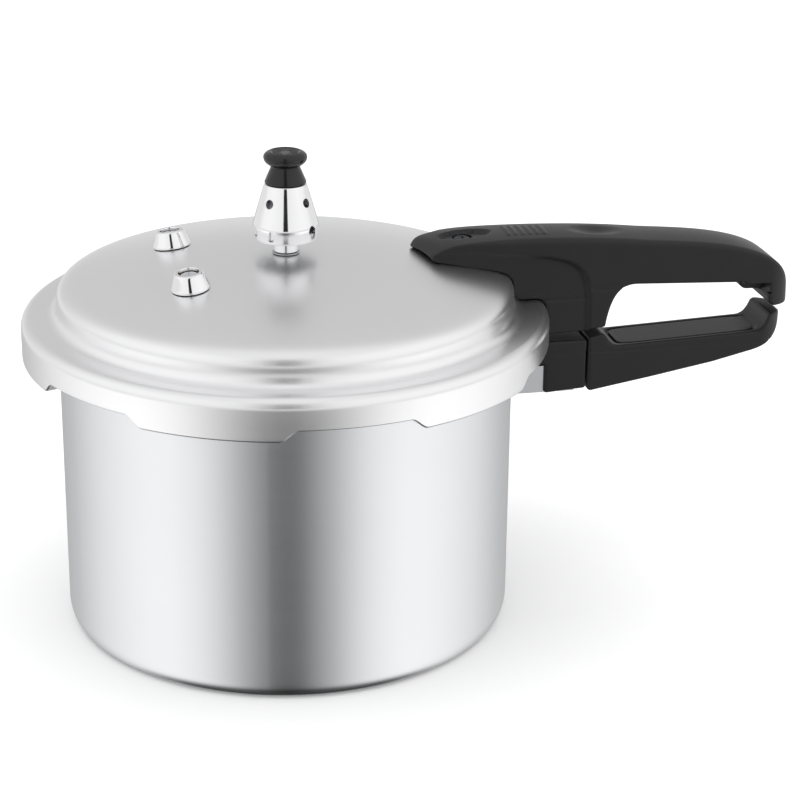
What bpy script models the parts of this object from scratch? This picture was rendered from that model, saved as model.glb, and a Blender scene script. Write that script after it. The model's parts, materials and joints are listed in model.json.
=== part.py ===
"""Stovetop pressure canner with a bayonet lid, a weighted vent valve and two side handles.

Metres, +Z up.  The origin is the centre of the pot's base, and +X runs out along the handles.
The lid turns about +Z, and the weight lifts off the vent pipe and spins on the same axis.
"""

import bmesh
import bpy
from math import atan2, cos, hypot, pi, radians, sin
from mathutils import Matrix, Vector

MM = 0.001

# Turned-part resolution.
LID_STEPS = 60
VALVE_STEPS = 32
SMALL_STEPS = 20

# Running and touching gap between separate pieces.
GAP = 0.3

# Pot, in millimetres.
POT_R = 112.0
POT_WALL = 2.7
POT_FLOOR = 3.6
POT_CORNER_Z = 9.8
POT_CORNER_R = 105.5
RIM_TOP_Z = 145.2
RIM_BEAD_R = 113.5

# Bayonet lugs, in millimetres and degrees.
LUG_COUNT = 6
LUG_PITCH = 360 / LUG_COUNT
LUG_TURN = 4.5
POT_LUG_R = 124.5
POT_LUG_ANGLE = 23.0
POT_LUG_Z = (142.0, 145.0)
LID_LUG_Z = (138.4, 141.6)
LID_LUG_R = 114.5
LID_GAP_TOP_Z = 144.0
LID_GAP_HALF = 30.5
LID_GAP_SLOPE = 3.2

# Lid, in millimetres.
LID_WALL = 2.5
LID_TOP_Z = 186.8
CROWN_R = 98.0
CROWN_Z = 176.3
DOME_WALL = (112.3, 166.5)
DOME_FOOT = (117.8, 158.8)
BRIM_Z = 158.7
SKIRT_R = 130.0
SKIRT_CORNER = 5.2

# Valve on the lid's axis, in millimetres.
VENT_R = 4.5
VENT_BORE_R = 1.5
VENT_TOP_Z = 203.0
VENT_FLANGE_R = 6.1
NUT_ACROSS_FLATS = 14.0
SHROUD_BASE_Z = 194.8
SHROUD_BAND_Z = 202.6
SHROUD_TOP_Z = 222.0
SHROUD_R = 16.2
SHROUD_TOP_R = 10.5
SHROUD_WALL = 0.8
KNOB_TOP_Z = 238.0
STUD_R = 2.0

# Safety valves, in millimetres and degrees.
SAFETY_RADIUS = 62.0
SAFETY_AZIMUTHS = {"a": 147.0, "b": -146.0}
SAFETY_SHANK_R = 4.8

# Handles, in millimetres.
HANDLE_HALF = 15.0
UPPER_TIP_X = 260.0
LOWER_TIP_X = 256.6
TIP_CORNER = 12.0
BLOCK_X = 151.0
COLLAR_X = (129.3, 151.4)
COLLAR_Z = (109.0, 136.3)
TONGUE_Z = (119.5, 122.5)
TONGUE_HALF = 9.0
TONGUE_END = 180.0
FRONT_SCREW_X = 88.5
REAR_SCREW_R = 99.2
LOWER_SCREW_X = 166.0
LOWER_SCREW_SEAT_Z = 114.8
RIVET_ANGLE = 4.0
RIVET_Z = 113.4
RIVET_R = 2.4

COLLECTION_NAME = "pressure_canner"


# Scene and material helpers.


def clear_scene():
    for obj in list(bpy.data.objects):
        bpy.data.objects.remove(obj, do_unlink=True)


def new_collection(name):
    collection = bpy.data.collections.new(name)
    bpy.context.scene.collection.children.link(collection)
    return collection


def make_material(name, colour, roughness, metallic):
    material = bpy.data.materials.new(name)
    material.use_nodes = True
    shader = material.node_tree.nodes["Principled BSDF"]
    shader.inputs["Base Color"].default_value = (*colour, 1.0)
    shader.inputs["Roughness"].default_value = roughness
    shader.inputs["Metallic"].default_value = metallic
    return material


def satin_aluminium(name):
    return make_material(name, (0.78, 0.79, 0.80), 0.35, 1.0)


def bright_chrome(name):
    return make_material(name, (0.86, 0.86, 0.88), 0.08, 1.0)


def black_bakelite(name):
    return make_material(name, (0.02, 0.02, 0.022), 0.35, 0.0)


def dark_rubber(name):
    return make_material(name, (0.05, 0.05, 0.055), 0.7, 0.0)


def zinc_steel(name):
    return make_material(name, (0.62, 0.63, 0.65), 0.3, 1.0)


def brass_metal(name):
    return make_material(name, (0.80, 0.62, 0.28), 0.3, 1.0)


# Mesh helpers.


def add_mesh(name, mesh, material=None):
    """Link a mesh as a finished part, or as a hidden cutter when it has no material."""
    obj = bpy.data.objects.new(name, mesh)
    if material is None:
        cutters.objects.link(obj)
        obj.hide_render = True
        obj.display_type = "WIRE"
    else:
        parts.objects.link(obj)
        mesh.materials.append(material(name))
    return obj


def turned(name, profile, steps, material=None, closed=False):
    """Turn (radius, height) points in millimetres round Z; the outer side runs downward."""
    mesh = bpy.data.meshes.new(name)
    points = [(r * MM, 0.0, z * MM) for r, z in profile]
    edges = [(i, i + 1) for i in range(len(points) - 1)]
    if closed:
        edges.append((len(points) - 1, 0))
    mesh.from_pydata(points, edges, [])
    obj = add_mesh(name, mesh, material)
    screw = obj.modifiers.new("Turn", "SCREW")
    screw.axis = "Z"
    screw.angle = 2 * pi
    screw.steps = steps
    screw.render_steps = steps
    screw.use_merge_vertices = True
    screw.merge_threshold = 0.00001
    screw.use_smooth_shade = False
    return obj


def evaluated_mesh(obj, name):
    """A welded mesh copy of an object as its modifiers leave it, in its own space."""
    bpy.context.view_layer.update()
    graph = bpy.context.evaluated_depsgraph_get()
    mesh = bpy.data.meshes.new_from_object(obj.evaluated_get(graph))
    mesh.name = name
    work = bmesh.new()
    work.from_mesh(mesh)
    bmesh.ops.remove_doubles(work, verts=work.verts, dist=0.000001)
    bmesh.ops.dissolve_limit(work, angle_limit=radians(0.2), verts=work.verts, edges=work.edges)
    bmesh.ops.recalc_face_normals(work, faces=work.faces)
    work.to_mesh(mesh)
    work.free()
    return mesh


def extruded(name, outline, low, high, material=None, along="Y"):
    """Extrude a flat outline, in millimetres, from low to high along Y (side view) or Z (plan)."""
    curve = bpy.data.curves.new(name + "_outline", "CURVE")
    curve.dimensions = "2D"
    curve.fill_mode = "BOTH"
    curve.extrude = (high - low) / 2 * MM
    spline = curve.splines.new("POLY")
    spline.points.add(len(outline) - 1)
    for point, (u, v) in zip(spline.points, outline):
        point.co = (u * MM, v * MM, 0.0, 1.0)
    spline.use_cyclic_u = True
    flat = bpy.data.objects.new(name + "_outline", curve)
    cutters.objects.link(flat)
    mesh = evaluated_mesh(flat, name)
    bpy.data.objects.remove(flat, do_unlink=True)
    middle = (low + high) / 2 * MM
    if along == "Y":
        mesh.transform(Matrix.Translation((0, middle, 0)) @ Matrix.Rotation(pi / 2, 4, "X"))
    else:
        mesh.transform(Matrix.Translation((0, 0, middle)))
    return add_mesh(name, mesh, material)


def block(name, low, high):
    """A box cutter between two corners in millimetres."""
    work = bmesh.new()
    bmesh.ops.create_cube(work, size=1.0)
    size = [(b - a) * MM for a, b in zip(low, high)]
    centre = [(a + b) / 2 * MM for a, b in zip(low, high)]
    bmesh.ops.scale(work, vec=size, verts=work.verts)
    bmesh.ops.translate(work, vec=centre, verts=work.verts)
    mesh = bpy.data.meshes.new(name)
    work.to_mesh(mesh)
    work.free()
    return add_mesh(name, mesh)


def rod(name, radius, length, centre, axis, steps=SMALL_STEPS):
    """A round cutter of the given length, centred on a point, along an axis (millimetres)."""
    work = bmesh.new()
    bmesh.ops.create_cone(
        work, cap_ends=True, segments=steps, radius1=radius * MM, radius2=radius * MM, depth=length * MM
    )
    turn = Vector((0, 0, 1)).rotation_difference(Vector(axis)).to_matrix().to_4x4()
    bmesh.ops.transform(
        work, matrix=Matrix.Translation([c * MM for c in centre]) @ turn, verts=work.verts
    )
    mesh = bpy.data.meshes.new(name)
    work.to_mesh(mesh)
    work.free()
    return add_mesh(name, mesh)


def around_axis(obj, count, first_angle=0.0):
    """Replace an object's mesh with copies of it spaced evenly round Z."""
    work = bmesh.new()
    for index in range(count):
        copy = obj.data.copy()
        copy.transform(Matrix.Rotation(radians(first_angle + index * 360 / count), 4, "Z"))
        work.from_mesh(copy)
        bpy.data.meshes.remove(copy)
    work.to_mesh(obj.data)
    work.free()
    return obj


def combine(obj, tool, operation="DIFFERENCE"):
    modifier = obj.modifiers.new(tool.name, "BOOLEAN")
    modifier.operation = operation
    modifier.solver = "EXACT"
    modifier.object = tool


def bevel(obj, width, segments=2, angle=50.0):
    modifier = obj.modifiers.new("Bevel", "BEVEL")
    modifier.width = width * MM
    modifier.segments = segments
    modifier.limit_method = "ANGLE"
    modifier.angle_limit = radians(angle)


def arc(centre, radius, start, end, count):
    """Points in millimetres on a circular arc between two angles in degrees."""
    step = (end - start) / (count - 1)
    angles = [radians(start + step * i) for i in range(count)]
    return [(centre[0] + radius * cos(a), centre[1] + radius * sin(a)) for a in angles]


def bezier(p0, p1, p2, p3, count):
    """Points on a cubic Bezier curve, without its first point."""
    points = []
    for i in range(1, count + 1):
        t = i / count
        weights = ((1 - t) ** 3, 3 * (1 - t) ** 2 * t, 3 * (1 - t) * t * t, t**3)
        points.append(tuple(sum(w * p[k] for w, p in zip(weights, (p0, p1, p2, p3))) for k in (0, 1)))
    return points


def offset(path, distance):
    """Move an open path sideways, to the right of its direction of travel when positive."""
    moved = []
    for i, (x, z) in enumerate(path):
        before = path[max(i - 1, 0)]
        after = path[min(i + 1, len(path) - 1)]
        dx, dz = after[0] - before[0], after[1] - before[1]
        length = hypot(dx, dz)
        moved.append((x + distance * dz / length, z - distance * dx / length))
    return moved


# Shared outlines.


def crown_height(radius):
    """Height of the lid's outer crown at a radius."""
    return LID_TOP_Z - (LID_TOP_Z - CROWN_Z) * (radius / CROWN_R) ** 2


def crown_slope(radius):
    return -2 * (LID_TOP_Z - CROWN_Z) * radius / CROWN_R**2


def lid_sheet(first_radius):
    """The lid's outer face, from the vent hole over the dome and brim to the skirt's foot."""
    radii = [first_radius + (CROWN_R - first_radius) * i / 5 for i in range(6)]
    path = [(r, crown_height(r)) for r in radii]
    slope = crown_slope(CROWN_R)
    shoulder = (CROWN_R + 9.5, CROWN_Z + 9.5 * slope)
    path += bezier(path[-1], shoulder, (DOME_WALL[0], 173.0), DOME_WALL, 7)
    path += bezier(DOME_WALL, (DOME_WALL[0], 162.0), (113.8, 158.9), DOME_FOOT, 4)
    path.append((124.4, BRIM_Z + 0.2))
    path += arc(
        (SKIRT_R - SKIRT_CORNER, BRIM_Z + 0.2 - SKIRT_CORNER), SKIRT_CORNER, 72, 0, 4
    )
    path.append((SKIRT_R - 0.2, LID_LUG_Z[1]))
    return path


def lid_envelope(name, clearance):
    """A solid just outside the lid, which the upper handle is cut back from."""
    outer = [(r, z) for r, z in lid_sheet(8.0)]
    moved = offset(outer, -clearance)
    profile = [(0.0, moved[0][1])] + moved + [(SKIRT_R + clearance, 130.0), (0.0, 130.0)]
    return turned(name, profile, LID_STEPS)


def lug_sector(name, inner, outer, angle, z_range, material=None):
    """A sector of a ring, centred on +X."""
    count = 5
    outline = arc((0, 0), outer, -angle / 2, angle / 2, count)
    outline += arc((0, 0), inner, angle / 2, -angle / 2, count)
    return extruded(name, outline, z_range[0], z_range[1], material, along="Z")


# Pot group.

RIVET_SIDES = (("left", RIVET_ANGLE), ("right", -RIVET_ANGLE))


def rivet_hole(name, angle):
    """A radial clearance hole for a bracket rivet."""
    direction = (cos(radians(angle)), sin(radians(angle)), 0)
    centre = (POT_R * direction[0], POT_R * direction[1], RIVET_Z)
    return rod(name, RIVET_R + GAP, 20, centre, direction)


def make_pot_body():
    inner_r = POT_R - POT_WALL
    profile = [(0.0, POT_FLOOR), (inner_r - 6, POT_FLOOR)]
    profile += arc((inner_r - 6, POT_FLOOR + 6), 6, -60, 0, 3)
    profile += [
        (inner_r, RIM_TOP_Z - 0.5),
        (inner_r + 0.5, RIM_TOP_Z),
        (RIM_BEAD_R - 0.4, RIM_TOP_Z),
        (RIM_BEAD_R, RIM_TOP_Z - 0.4),
        (RIM_BEAD_R, 141.4),
        (POT_R, 140.2),
        (POT_R, POT_CORNER_Z),
        (111.4, 5.6),
        (109.6, 2.2),
        (107.4, 0.5),
        (POT_CORNER_R, 0.0),
        (0.0, 0.0),
    ]
    pot = turned("pot_body", profile, LID_STEPS, satin_aluminium)
    lugs = lug_sector("pot_lug_ring", POT_R - 1.2, POT_LUG_R, POT_LUG_ANGLE, POT_LUG_Z)
    combine(pot, around_axis(lugs, LUG_COUNT, LUG_TURN), "UNION")
    for side, angle in RIVET_SIDES:
        combine(pot, rivet_hole(f"pot_rivet_hole_{side}", angle))
    return pot


def make_handle_bracket():
    """A bent steel channel riveted to the pot, with a tongue that carries the lower handle."""
    depth, half, sheet = 145.5, 13.0, 1.5
    outline = [(depth, -half), (108.0, -half), (108.0, half), (depth, half)]
    outline += [(depth, half - sheet), (115.6, half - sheet)]
    outline += [(115.6, sheet - half), (depth, sheet - half)]
    bracket = extruded("handle_bracket", outline, 109.3, 123.5, zinc_steel, along="Z")
    tongue = block(
        "bracket_tongue", (113.5, -TONGUE_HALF, TONGUE_Z[0]), (TONGUE_END, TONGUE_HALF, TONGUE_Z[1])
    )
    combine(bracket, tongue, "UNION")
    combine(bracket, pot_envelope)
    for side, angle in RIVET_SIDES:
        combine(bracket, rivet_hole(f"bracket_rivet_hole_{side}", angle))
    combine(bracket, rod("tongue_screw_hole", 2.5, 12, (LOWER_SCREW_X, 0, 121), (0, 0, 1)))
    return bracket


def make_bracket_rivets():
    """Round-headed rivets: the domed head is inside the pot, the upset head behind the plate."""
    seat = POT_R - POT_WALL - 0.55
    profile = [(0.0, 2.0), (2.6, 1.3), (4.0, 0.0), (RIVET_R, 0.0), (RIVET_R, -7.9)]
    profile += [(3.3, -7.9), (3.0, -8.9), (0.0, -9.3)]
    for side, angle in RIVET_SIDES:
        rivet = turned(f"bracket_rivet_{side}", profile, SMALL_STEPS, satin_aluminium)
        rivet.matrix_world = (
            Matrix.Rotation(radians(angle), 4, "Z")
            @ Matrix.Translation((seat * MM, 0, RIVET_Z * MM))
            @ Matrix.Rotation(-pi / 2, 4, "Y")
        )


def tip_plan(start, tip, half):
    """Plan outline of a handle whose free end has round corners."""
    centre_x = tip - TIP_CORNER
    centre_y = half - TIP_CORNER
    outline = [(start, -half)]
    outline += arc((centre_x, -centre_y), TIP_CORNER, -90, 0, 5)
    outline += arc((centre_x, centre_y), TIP_CORNER, 0, 90, 5)
    outline.append((start, half))
    return outline


def tongue_slot(name):
    """Clearance slot for the bracket's tongue."""
    half = TONGUE_HALF + GAP
    return block(
        name, (130, -half, TONGUE_Z[0] - GAP), (TONGUE_END + GAP, half, TONGUE_Z[1] + GAP)
    )


def make_lower_handle_collar():
    """The moulded ferrule between the pot and the grip; the bracket's channel runs into it."""
    outline = [
        (108.0, COLLAR_Z[1]),
        (COLLAR_X[1], COLLAR_Z[1]),
        (COLLAR_X[1], COLLAR_Z[0] + 1.5),
        (COLLAR_X[0] + 1.2, COLLAR_Z[0]),
        (COLLAR_X[0], 124.3),
        (108.0, 124.3),
    ]
    half = HANDLE_HALF - 0.8
    collar = extruded("lower_handle_collar", outline, -half, half, black_bakelite)
    bevel(collar, 1.2)
    combine(collar, pot_envelope)
    combine(collar, block("collar_channel", (100, -13.3, 100), (145.8, 13.3, 123.8)))
    combine(collar, tongue_slot("collar_tongue_slot"))
    return collar


def make_lower_handle_grip():
    """The lower half of the closed handle loop, with its upturned tip."""
    outline = [(152.0, 137.4), (158.6, 139.2)]
    outline += bezier((158.6, 139.2), (162.5, 140.0), (161.5, 132.3), (169.5, 132.4), 4)
    outline.append((240.0, 135.4))
    outline += bezier((240.0, 135.4), (244.5, 135.6), (246.3, 138.5), (248.0, 143.2), 3)
    outline += [(249.4, 144.3), (254.8, 144.6), (256.4, 143.2), (256.4, 140.0)]
    outline += bezier((256.4, 140.0), (254.6, 133.0), (249.5, 127.8), (240.5, 125.3), 4)
    outline += [(219.0, 120.2), (186.0, 114.2), (153.6, 108.8), (152.0, 110.3)]
    grip = extruded("lower_handle_grip", outline, -HANDLE_HALF, HANDLE_HALF, black_bakelite)
    bevel(grip, 2.0)
    plan = extruded("lower_handle_plan", tip_plan(140, LOWER_TIP_X, HANDLE_HALF), 100, 160, along="Z")
    combine(grip, plan, "INTERSECT")
    combine(grip, tongue_slot("grip_tongue_slot"))
    combine(grip, lower_screw_bore("grip_screw_bore"))
    inlay_seat = extruded("inlay_seat", inlay_outline(GAP), -11.3, 11.3)
    combine(grip, inlay_seat)
    return grip


def inlay_outline(clearance):
    """Side outline of the inlaid strip on the lower handle's upper face."""
    slope = 3.0 / 70.5
    low, high = 171.0 - clearance, 240.0 + clearance
    floor = 129.9 - clearance
    top = 132.3 if clearance == 0 else 136.0
    return [
        (low, floor + (low - 169.5) * slope),
        (high, floor + (high - 169.5) * slope),
        (high, top + (high - 169.5) * slope),
        (low, top + (low - 169.5) * slope),
    ]


def make_lower_handle_inlay():
    inlay = extruded("lower_handle_inlay", inlay_outline(0), -11.0, 11.0, black_bakelite)
    bevel(inlay, 0.6, 1)
    return inlay


def lower_screw_bore(name):
    """Counterbored clearance hole for the lower handle's screw, entered from below."""
    seat = LOWER_SCREW_SEAT_Z
    profile = [(0.0, 126.5), (2.5, 126.5), (2.5, seat), (4.9, seat), (4.9, 100.0), (0.0, 100.0)]
    bore = turned(name, profile, SMALL_STEPS)
    bore.location = (LOWER_SCREW_X * MM, 0, 0)
    return bore


def pan_screw(name, head_r, head_h, shank_r, length, material=zinc_steel):
    """A pan-head screw with a straight drive slot; its head's seat is at the origin, head up."""
    profile = [(0.0, head_h), (head_r * 0.72, head_h * 0.92), (head_r, head_h * 0.35), (head_r, 0.0)]
    profile += [(shank_r, 0.0), (shank_r, 0.6 - length), (shank_r - 0.6, -length), (0.0, -length)]
    screw = turned(name, profile, SMALL_STEPS, material)
    slot = block(
        name + "_slot", (-head_r - 1, -0.5, head_h * 0.5), (head_r + 1, 0.5, head_h + 1)
    )
    combine(screw, slot)
    slot.parent = screw
    return screw


def make_lower_handle_screw():
    screw = pan_screw("lower_handle_screw", 4.5, 2.8, 2.1, 11.0)
    screw.rotation_euler = (pi, 0, 0)
    screw.location = (LOWER_SCREW_X * MM, 0, (LOWER_SCREW_SEAT_Z - GAP) * MM)
    return screw


# Sealing ring.


def make_sealing_ring():
    """A lip seal in the brim's channel, open towards the inside of the pot."""
    outer, inner, wall = 126.9, 110.8, 2.8
    low, high = RIM_TOP_Z + 0.4, BRIM_Z - LID_WALL - GAP - 0.1
    profile = [(inner + 0.8, high), (outer - 1.2, high), (outer, high - 1.2), (outer, low + 1.0)]
    profile += [(outer - 1.0, low), (inner, low), (inner, low + 1.4), (outer - wall, low + 2.6)]
    profile += [(outer - wall, high - 2.6), (inner, high - 1.2)]
    return turned("sealing_ring", profile, LID_STEPS, dark_rubber, closed=True)


# Lid group.


def gap_cutter():
    """Six trapezoids with S-shaped flanks, which leave the lid's bayonet lugs standing."""
    steps = 4
    flank = []
    for i in range(steps + 1):
        t = i / steps
        rise = t * t * (3 - 2 * t)
        height = LID_LUG_Z[0] + (LID_GAP_TOP_Z - LID_LUG_Z[0]) * rise
        flank.append((LID_GAP_HALF + LID_GAP_SLOPE * (1 - 2 * t), height))
    outline = [(flank[0][0], 130.0)] + flank
    outline += [(-u, z) for u, z in reversed(outline)]
    cutter = extruded("lid_gap_cutter", outline, 112.8, 136.0)
    # The outline was extruded along Y, so a quarter turn brings it to the +X side.
    cutter.data.transform(Matrix.Rotation(-pi / 2, 4, "Z"))
    return around_axis(cutter, LUG_COUNT, LUG_PITCH / 2 + LUG_TURN)


def safety_frame(azimuth):
    """Placement on the crown, with local +Z along the lid's outward normal."""
    tilt = atan2(-crown_slope(SAFETY_RADIUS), 1.0)
    return (
        Matrix.Rotation(radians(azimuth), 4, "Z")
        @ Matrix.Translation((SAFETY_RADIUS * MM, 0, crown_height(SAFETY_RADIUS) * MM))
        @ Matrix.Rotation(tilt, 4, "Y")
    )


def rear_screw_frame():
    """Placement under the crown behind the front screw, with local +Z along the lid's normal."""
    tilt = atan2(-crown_slope(REAR_SCREW_R), 1.0)
    return Matrix.Translation(
        (REAR_SCREW_R * MM, 0, crown_height(REAR_SCREW_R) * MM)
    ) @ Matrix.Rotation(tilt, 4, "Y")


def make_lid_shell():
    sheet = lid_sheet(VENT_R + 2 * GAP)
    inner = offset(sheet, LID_WALL)
    low, high = LID_LUG_Z
    skirt_inner = inner[-1][0]
    lug = [(SKIRT_R - 0.2, low + 1.0), (SKIRT_R - 1.2, low), (LID_LUG_R, low), (LID_LUG_R, high)]
    profile = sheet[:-1] + lug + [(skirt_inner, high)] + list(reversed(inner[:-1]))
    lid = turned("lid_shell", profile, LID_STEPS, satin_aluminium, closed=True)
    combine(lid, gap_cutter())
    for key, azimuth in SAFETY_AZIMUTHS.items():
        hole = rod(f"safety_hole_{key}", SAFETY_SHANK_R + GAP, 20, (0, 0, 0), (0, 0, 1))
        hole.matrix_world = safety_frame(azimuth)
        combine(lid, hole)
    combine(lid, rod("stud_hole", 3.0 + GAP, 20, (FRONT_SCREW_X, 0, 178), (0, 0, 1)))
    rear_hole = rod("rear_screw_hole", 2.2, 16, (0, 0, 0), (0, 0, 1))
    rear_hole.matrix_world = rear_screw_frame()
    combine(lid, rear_hole)
    return lid


def make_vent_pipe():
    base = LID_TOP_Z + 4 * GAP
    profile = [
        (VENT_BORE_R, VENT_TOP_Z),
        (2.6, VENT_TOP_Z),
        (4.2, VENT_TOP_Z - 2.2),
        (4.2, base + 9.5),
        (5.4, base + 9.3),
        (VENT_FLANGE_R, base + 8.7),
        (VENT_FLANGE_R, base),
        (VENT_R, base),
        (VENT_R, 174.0),
        (VENT_BORE_R, 174.0),
    ]
    return turned("vent_pipe", profile, SMALL_STEPS, bright_chrome, closed=True)


def make_vent_washer():
    low = LID_TOP_Z + GAP
    high = low + 2 * GAP
    profile = [(VENT_R + GAP, high), (7.6, high), (7.6, low), (VENT_R + GAP, low)]
    return turned("vent_washer", profile, SMALL_STEPS, zinc_steel, closed=True)


def make_vent_nut():
    """A hexagon nut under the lid with a through hole."""
    top = LID_TOP_Z - LID_WALL - GAP - 0.2
    radius = NUT_ACROSS_FLATS / 2 / cos(pi / 6)
    outline = arc((0, 0), radius, 0, 300, 6)
    nut = extruded("vent_nut", outline, top - 4.5, top, zinc_steel, along="Z")
    combine(nut, rod("vent_nut_hole", VENT_R + GAP, 20, (0, 0, top), (0, 0, 1)))
    return nut


def make_anti_block_cap():
    """A pierced cup on the pipe's inner end that keeps food out of the vent."""
    top = LID_TOP_Z - LID_WALL - GAP - 0.2 - 4.5 - GAP
    low, wall, radius = top - 8.6, 0.9, 10.5
    profile = [(0.0, low + wall), (radius - wall, low + wall), (radius - wall, top - wall)]
    profile += [(VENT_R + GAP, top - wall), (VENT_R + GAP, top), (radius - 0.8, top)]
    profile += [(radius, top - 0.8), (radius, low + 0.8), (radius - 0.8, low), (0.0, low)]
    cap = turned("anti_block_cap", profile, SMALL_STEPS, zinc_steel)
    holes = rod("anti_block_holes", 1.7, 6, (radius, 0, low + 4.2), (1, 0, 0), 10)
    combine(cap, around_axis(holes, 6))
    return cap


def make_safety_valve(key, azimuth):
    """One over-pressure plug: chromed cap, hollow shank, fusible disc and inner gasket."""
    frame = safety_frame(azimuth)
    under = -LID_WALL - 0.35
    cap_profile = [(4.9, 8.5), (6.2, 8.5), (7.0, 7.9), (9.2, 1.7), (9.5, 1.0), (9.5, GAP), (5.1, GAP)]
    cap_profile += [(5.1, 6.9), (4.9, 7.1)]
    plug_profile = [
        (2.4, 5.5),
        (SAFETY_SHANK_R, 5.5),
        (SAFETY_SHANK_R, under - 0.9),
        (8.6, under - 0.9),
        (8.6, under - 3.0),
        (2.4, under - 3.0),
    ]
    disc_profile = [(0.0, 6.9), (4.0, 6.9), (4.5, 6.5), (4.5, 5.8), (0.0, 5.8)]
    gasket_profile = [(5.1, under), (8.6, under), (8.6, under - 0.6), (5.1, under - 0.6)]
    pieces = (
        turned(f"safety_cap_{key}", cap_profile, VALVE_STEPS, bright_chrome, closed=True),
        turned(f"safety_plug_{key}", plug_profile, SMALL_STEPS, brass_metal, closed=True),
        turned(f"fusible_disc_{key}", disc_profile, SMALL_STEPS, zinc_steel),
        turned(f"safety_gasket_{key}", gasket_profile, SMALL_STEPS, dark_rubber, closed=True),
    )
    for piece in pieces:
        piece.matrix_world = frame


def upper_handle_outline():
    """Side view of the lid's handle: nose over the dome, block by the skirt, hooked grip."""
    outline = [(69.0, 176.0), (66.8, 183.2), (69.3, 187.6), (73.0, 189.6), (80.0, 190.9)]
    outline += bezier((80.0, 190.9), (100.0, 193.2), (145.0, 192.4), (182.0, 187.9), 6)
    outline += bezier((182.0, 187.9), (219.0, 184.6), (260.0, 183.4), (260.0, 151.0), 9)
    outline += [(258.8, 148.9), (249.6, 148.6), (247.8, 150.0), (246.8, 154.2), (244.6, 155.4)]
    outline += [(236.4, 155.6), (234.4, 157.4), (234.0, 162.2)]
    outline.append((176.0, 164.6))
    outline += bezier((176.0, 164.6), (166.5, 164.6), (163.0, 157.5), (160.6, 143.8), 5)
    outline += [(152.0, 142.2), (108.0, 140.4), (100.0, 160.0)]
    return outline


def block_recess(name, low, high):
    """Cutter for the shallow side recess that sets the handle's block back from its grip."""
    outline = [(60.0, 182.4), (100.0, 184.6), (128.0, 184.2)]
    outline += bezier((128.0, 184.2), (143.0, 183.2), (150.2, 176.0), (BLOCK_X, 164.0), 5)
    outline += [(BLOCK_X, 130.0), (60.0, 130.0)]
    return extruded(name, outline, low, high)


def make_upper_handle():
    handle = extruded(
        "upper_handle", upper_handle_outline(), -HANDLE_HALF, HANDLE_HALF, black_bakelite
    )
    bevel(handle, 2.0)
    plan = extruded("upper_handle_plan", tip_plan(50, UPPER_TIP_X, HANDLE_HALF), 120, 210, along="Z")
    combine(handle, plan, "INTERSECT")
    combine(handle, lid_envelope("lid_envelope", GAP))
    combine(handle, block_recess("recess_near", -20, -14))
    combine(handle, block_recess("recess_far", 14, 20))
    bore = turned(
        "front_screw_bore",
        [(0.0, 200.0), (5.0, 200.0), (5.0, 187.6), (2.2, 187.6), (2.2, 185.9), (4.3, 185.9)]
        + [(4.3, 170.0), (0.0, 170.0)],
        SMALL_STEPS,
    )
    bore.location = (FRONT_SCREW_X * MM, 0, 0)
    combine(handle, bore)
    rear_bore = rod("rear_screw_bore", 2.2, 20, (0, 0, 0), (0, 0, 1))
    rear_bore.matrix_world = rear_screw_frame()
    combine(handle, rear_bore)
    thumb_dish = bpy.data.meshes.new("thumb_dish")
    work = bmesh.new()
    bmesh.ops.create_uvsphere(work, u_segments=20, v_segments=12, radius=1.0)
    bmesh.ops.scale(work, vec=(0.017, 0.009, 0.0035), verts=work.verts)
    bmesh.ops.translate(work, vec=(0.157, 0, 0.1918), verts=work.verts)
    work.to_mesh(thumb_dish)
    work.free()
    combine(handle, add_mesh("thumb_dish", thumb_dish))
    return handle


def make_lid_stud():
    """A shouldered post riveted through the lid, which the front screw threads into."""
    seat = crown_height(FRONT_SCREW_X - 6.0) + GAP
    under = crown_height(FRONT_SCREW_X + 6.5) - LID_WALL - 0.7
    floor = under + 0.4
    profile = [(0.0, floor), (1.9, floor), (1.9, 185.6), (4.0, 185.6), (4.0, seat), (3.0, seat)]
    profile += [(3.0, under), (4.9, under), (4.9, under - 1.6), (0.0, under - 1.6)]
    stud = turned("lid_stud", profile, SMALL_STEPS, satin_aluminium)
    stud.location = (FRONT_SCREW_X * MM, 0, 0)
    return stud


def make_handle_screws():
    front = pan_screw("handle_front_screw", 4.6, 2.4, 1.6, 8.0)
    front.location = (FRONT_SCREW_X * MM, 0, (187.6 + GAP) * MM)
    rear = pan_screw("handle_rear_screw", 3.8, 2.4, 1.9, 11.0)
    under = -LID_WALL - 2.1
    rear.matrix_world = (
        rear_screw_frame() @ Matrix.Translation((0, 0, under * MM)) @ Matrix.Rotation(pi, 4, "X")
    )
    washer_top = -LID_WALL - 0.7
    profile = [(2.2, washer_top), (4.2, washer_top), (4.2, washer_top - 1.0), (2.2, washer_top - 1.0)]
    washer = turned("rear_screw_washer", profile, SMALL_STEPS, dark_rubber, closed=True)
    washer.matrix_world = rear_screw_frame()


# Weight group.


def shroud_outer():
    return [
        (SHROUD_TOP_R - 0.5, SHROUD_TOP_Z),
        (SHROUD_TOP_R, SHROUD_TOP_Z - 0.6),
        (SHROUD_R - 0.5, SHROUD_BAND_Z + 0.9),
        (SHROUD_R, SHROUD_BAND_Z - 0.8),
        (SHROUD_R, SHROUD_BASE_Z + 1.0),
        (SHROUD_R - 0.5, SHROUD_BASE_Z),
    ]


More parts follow.
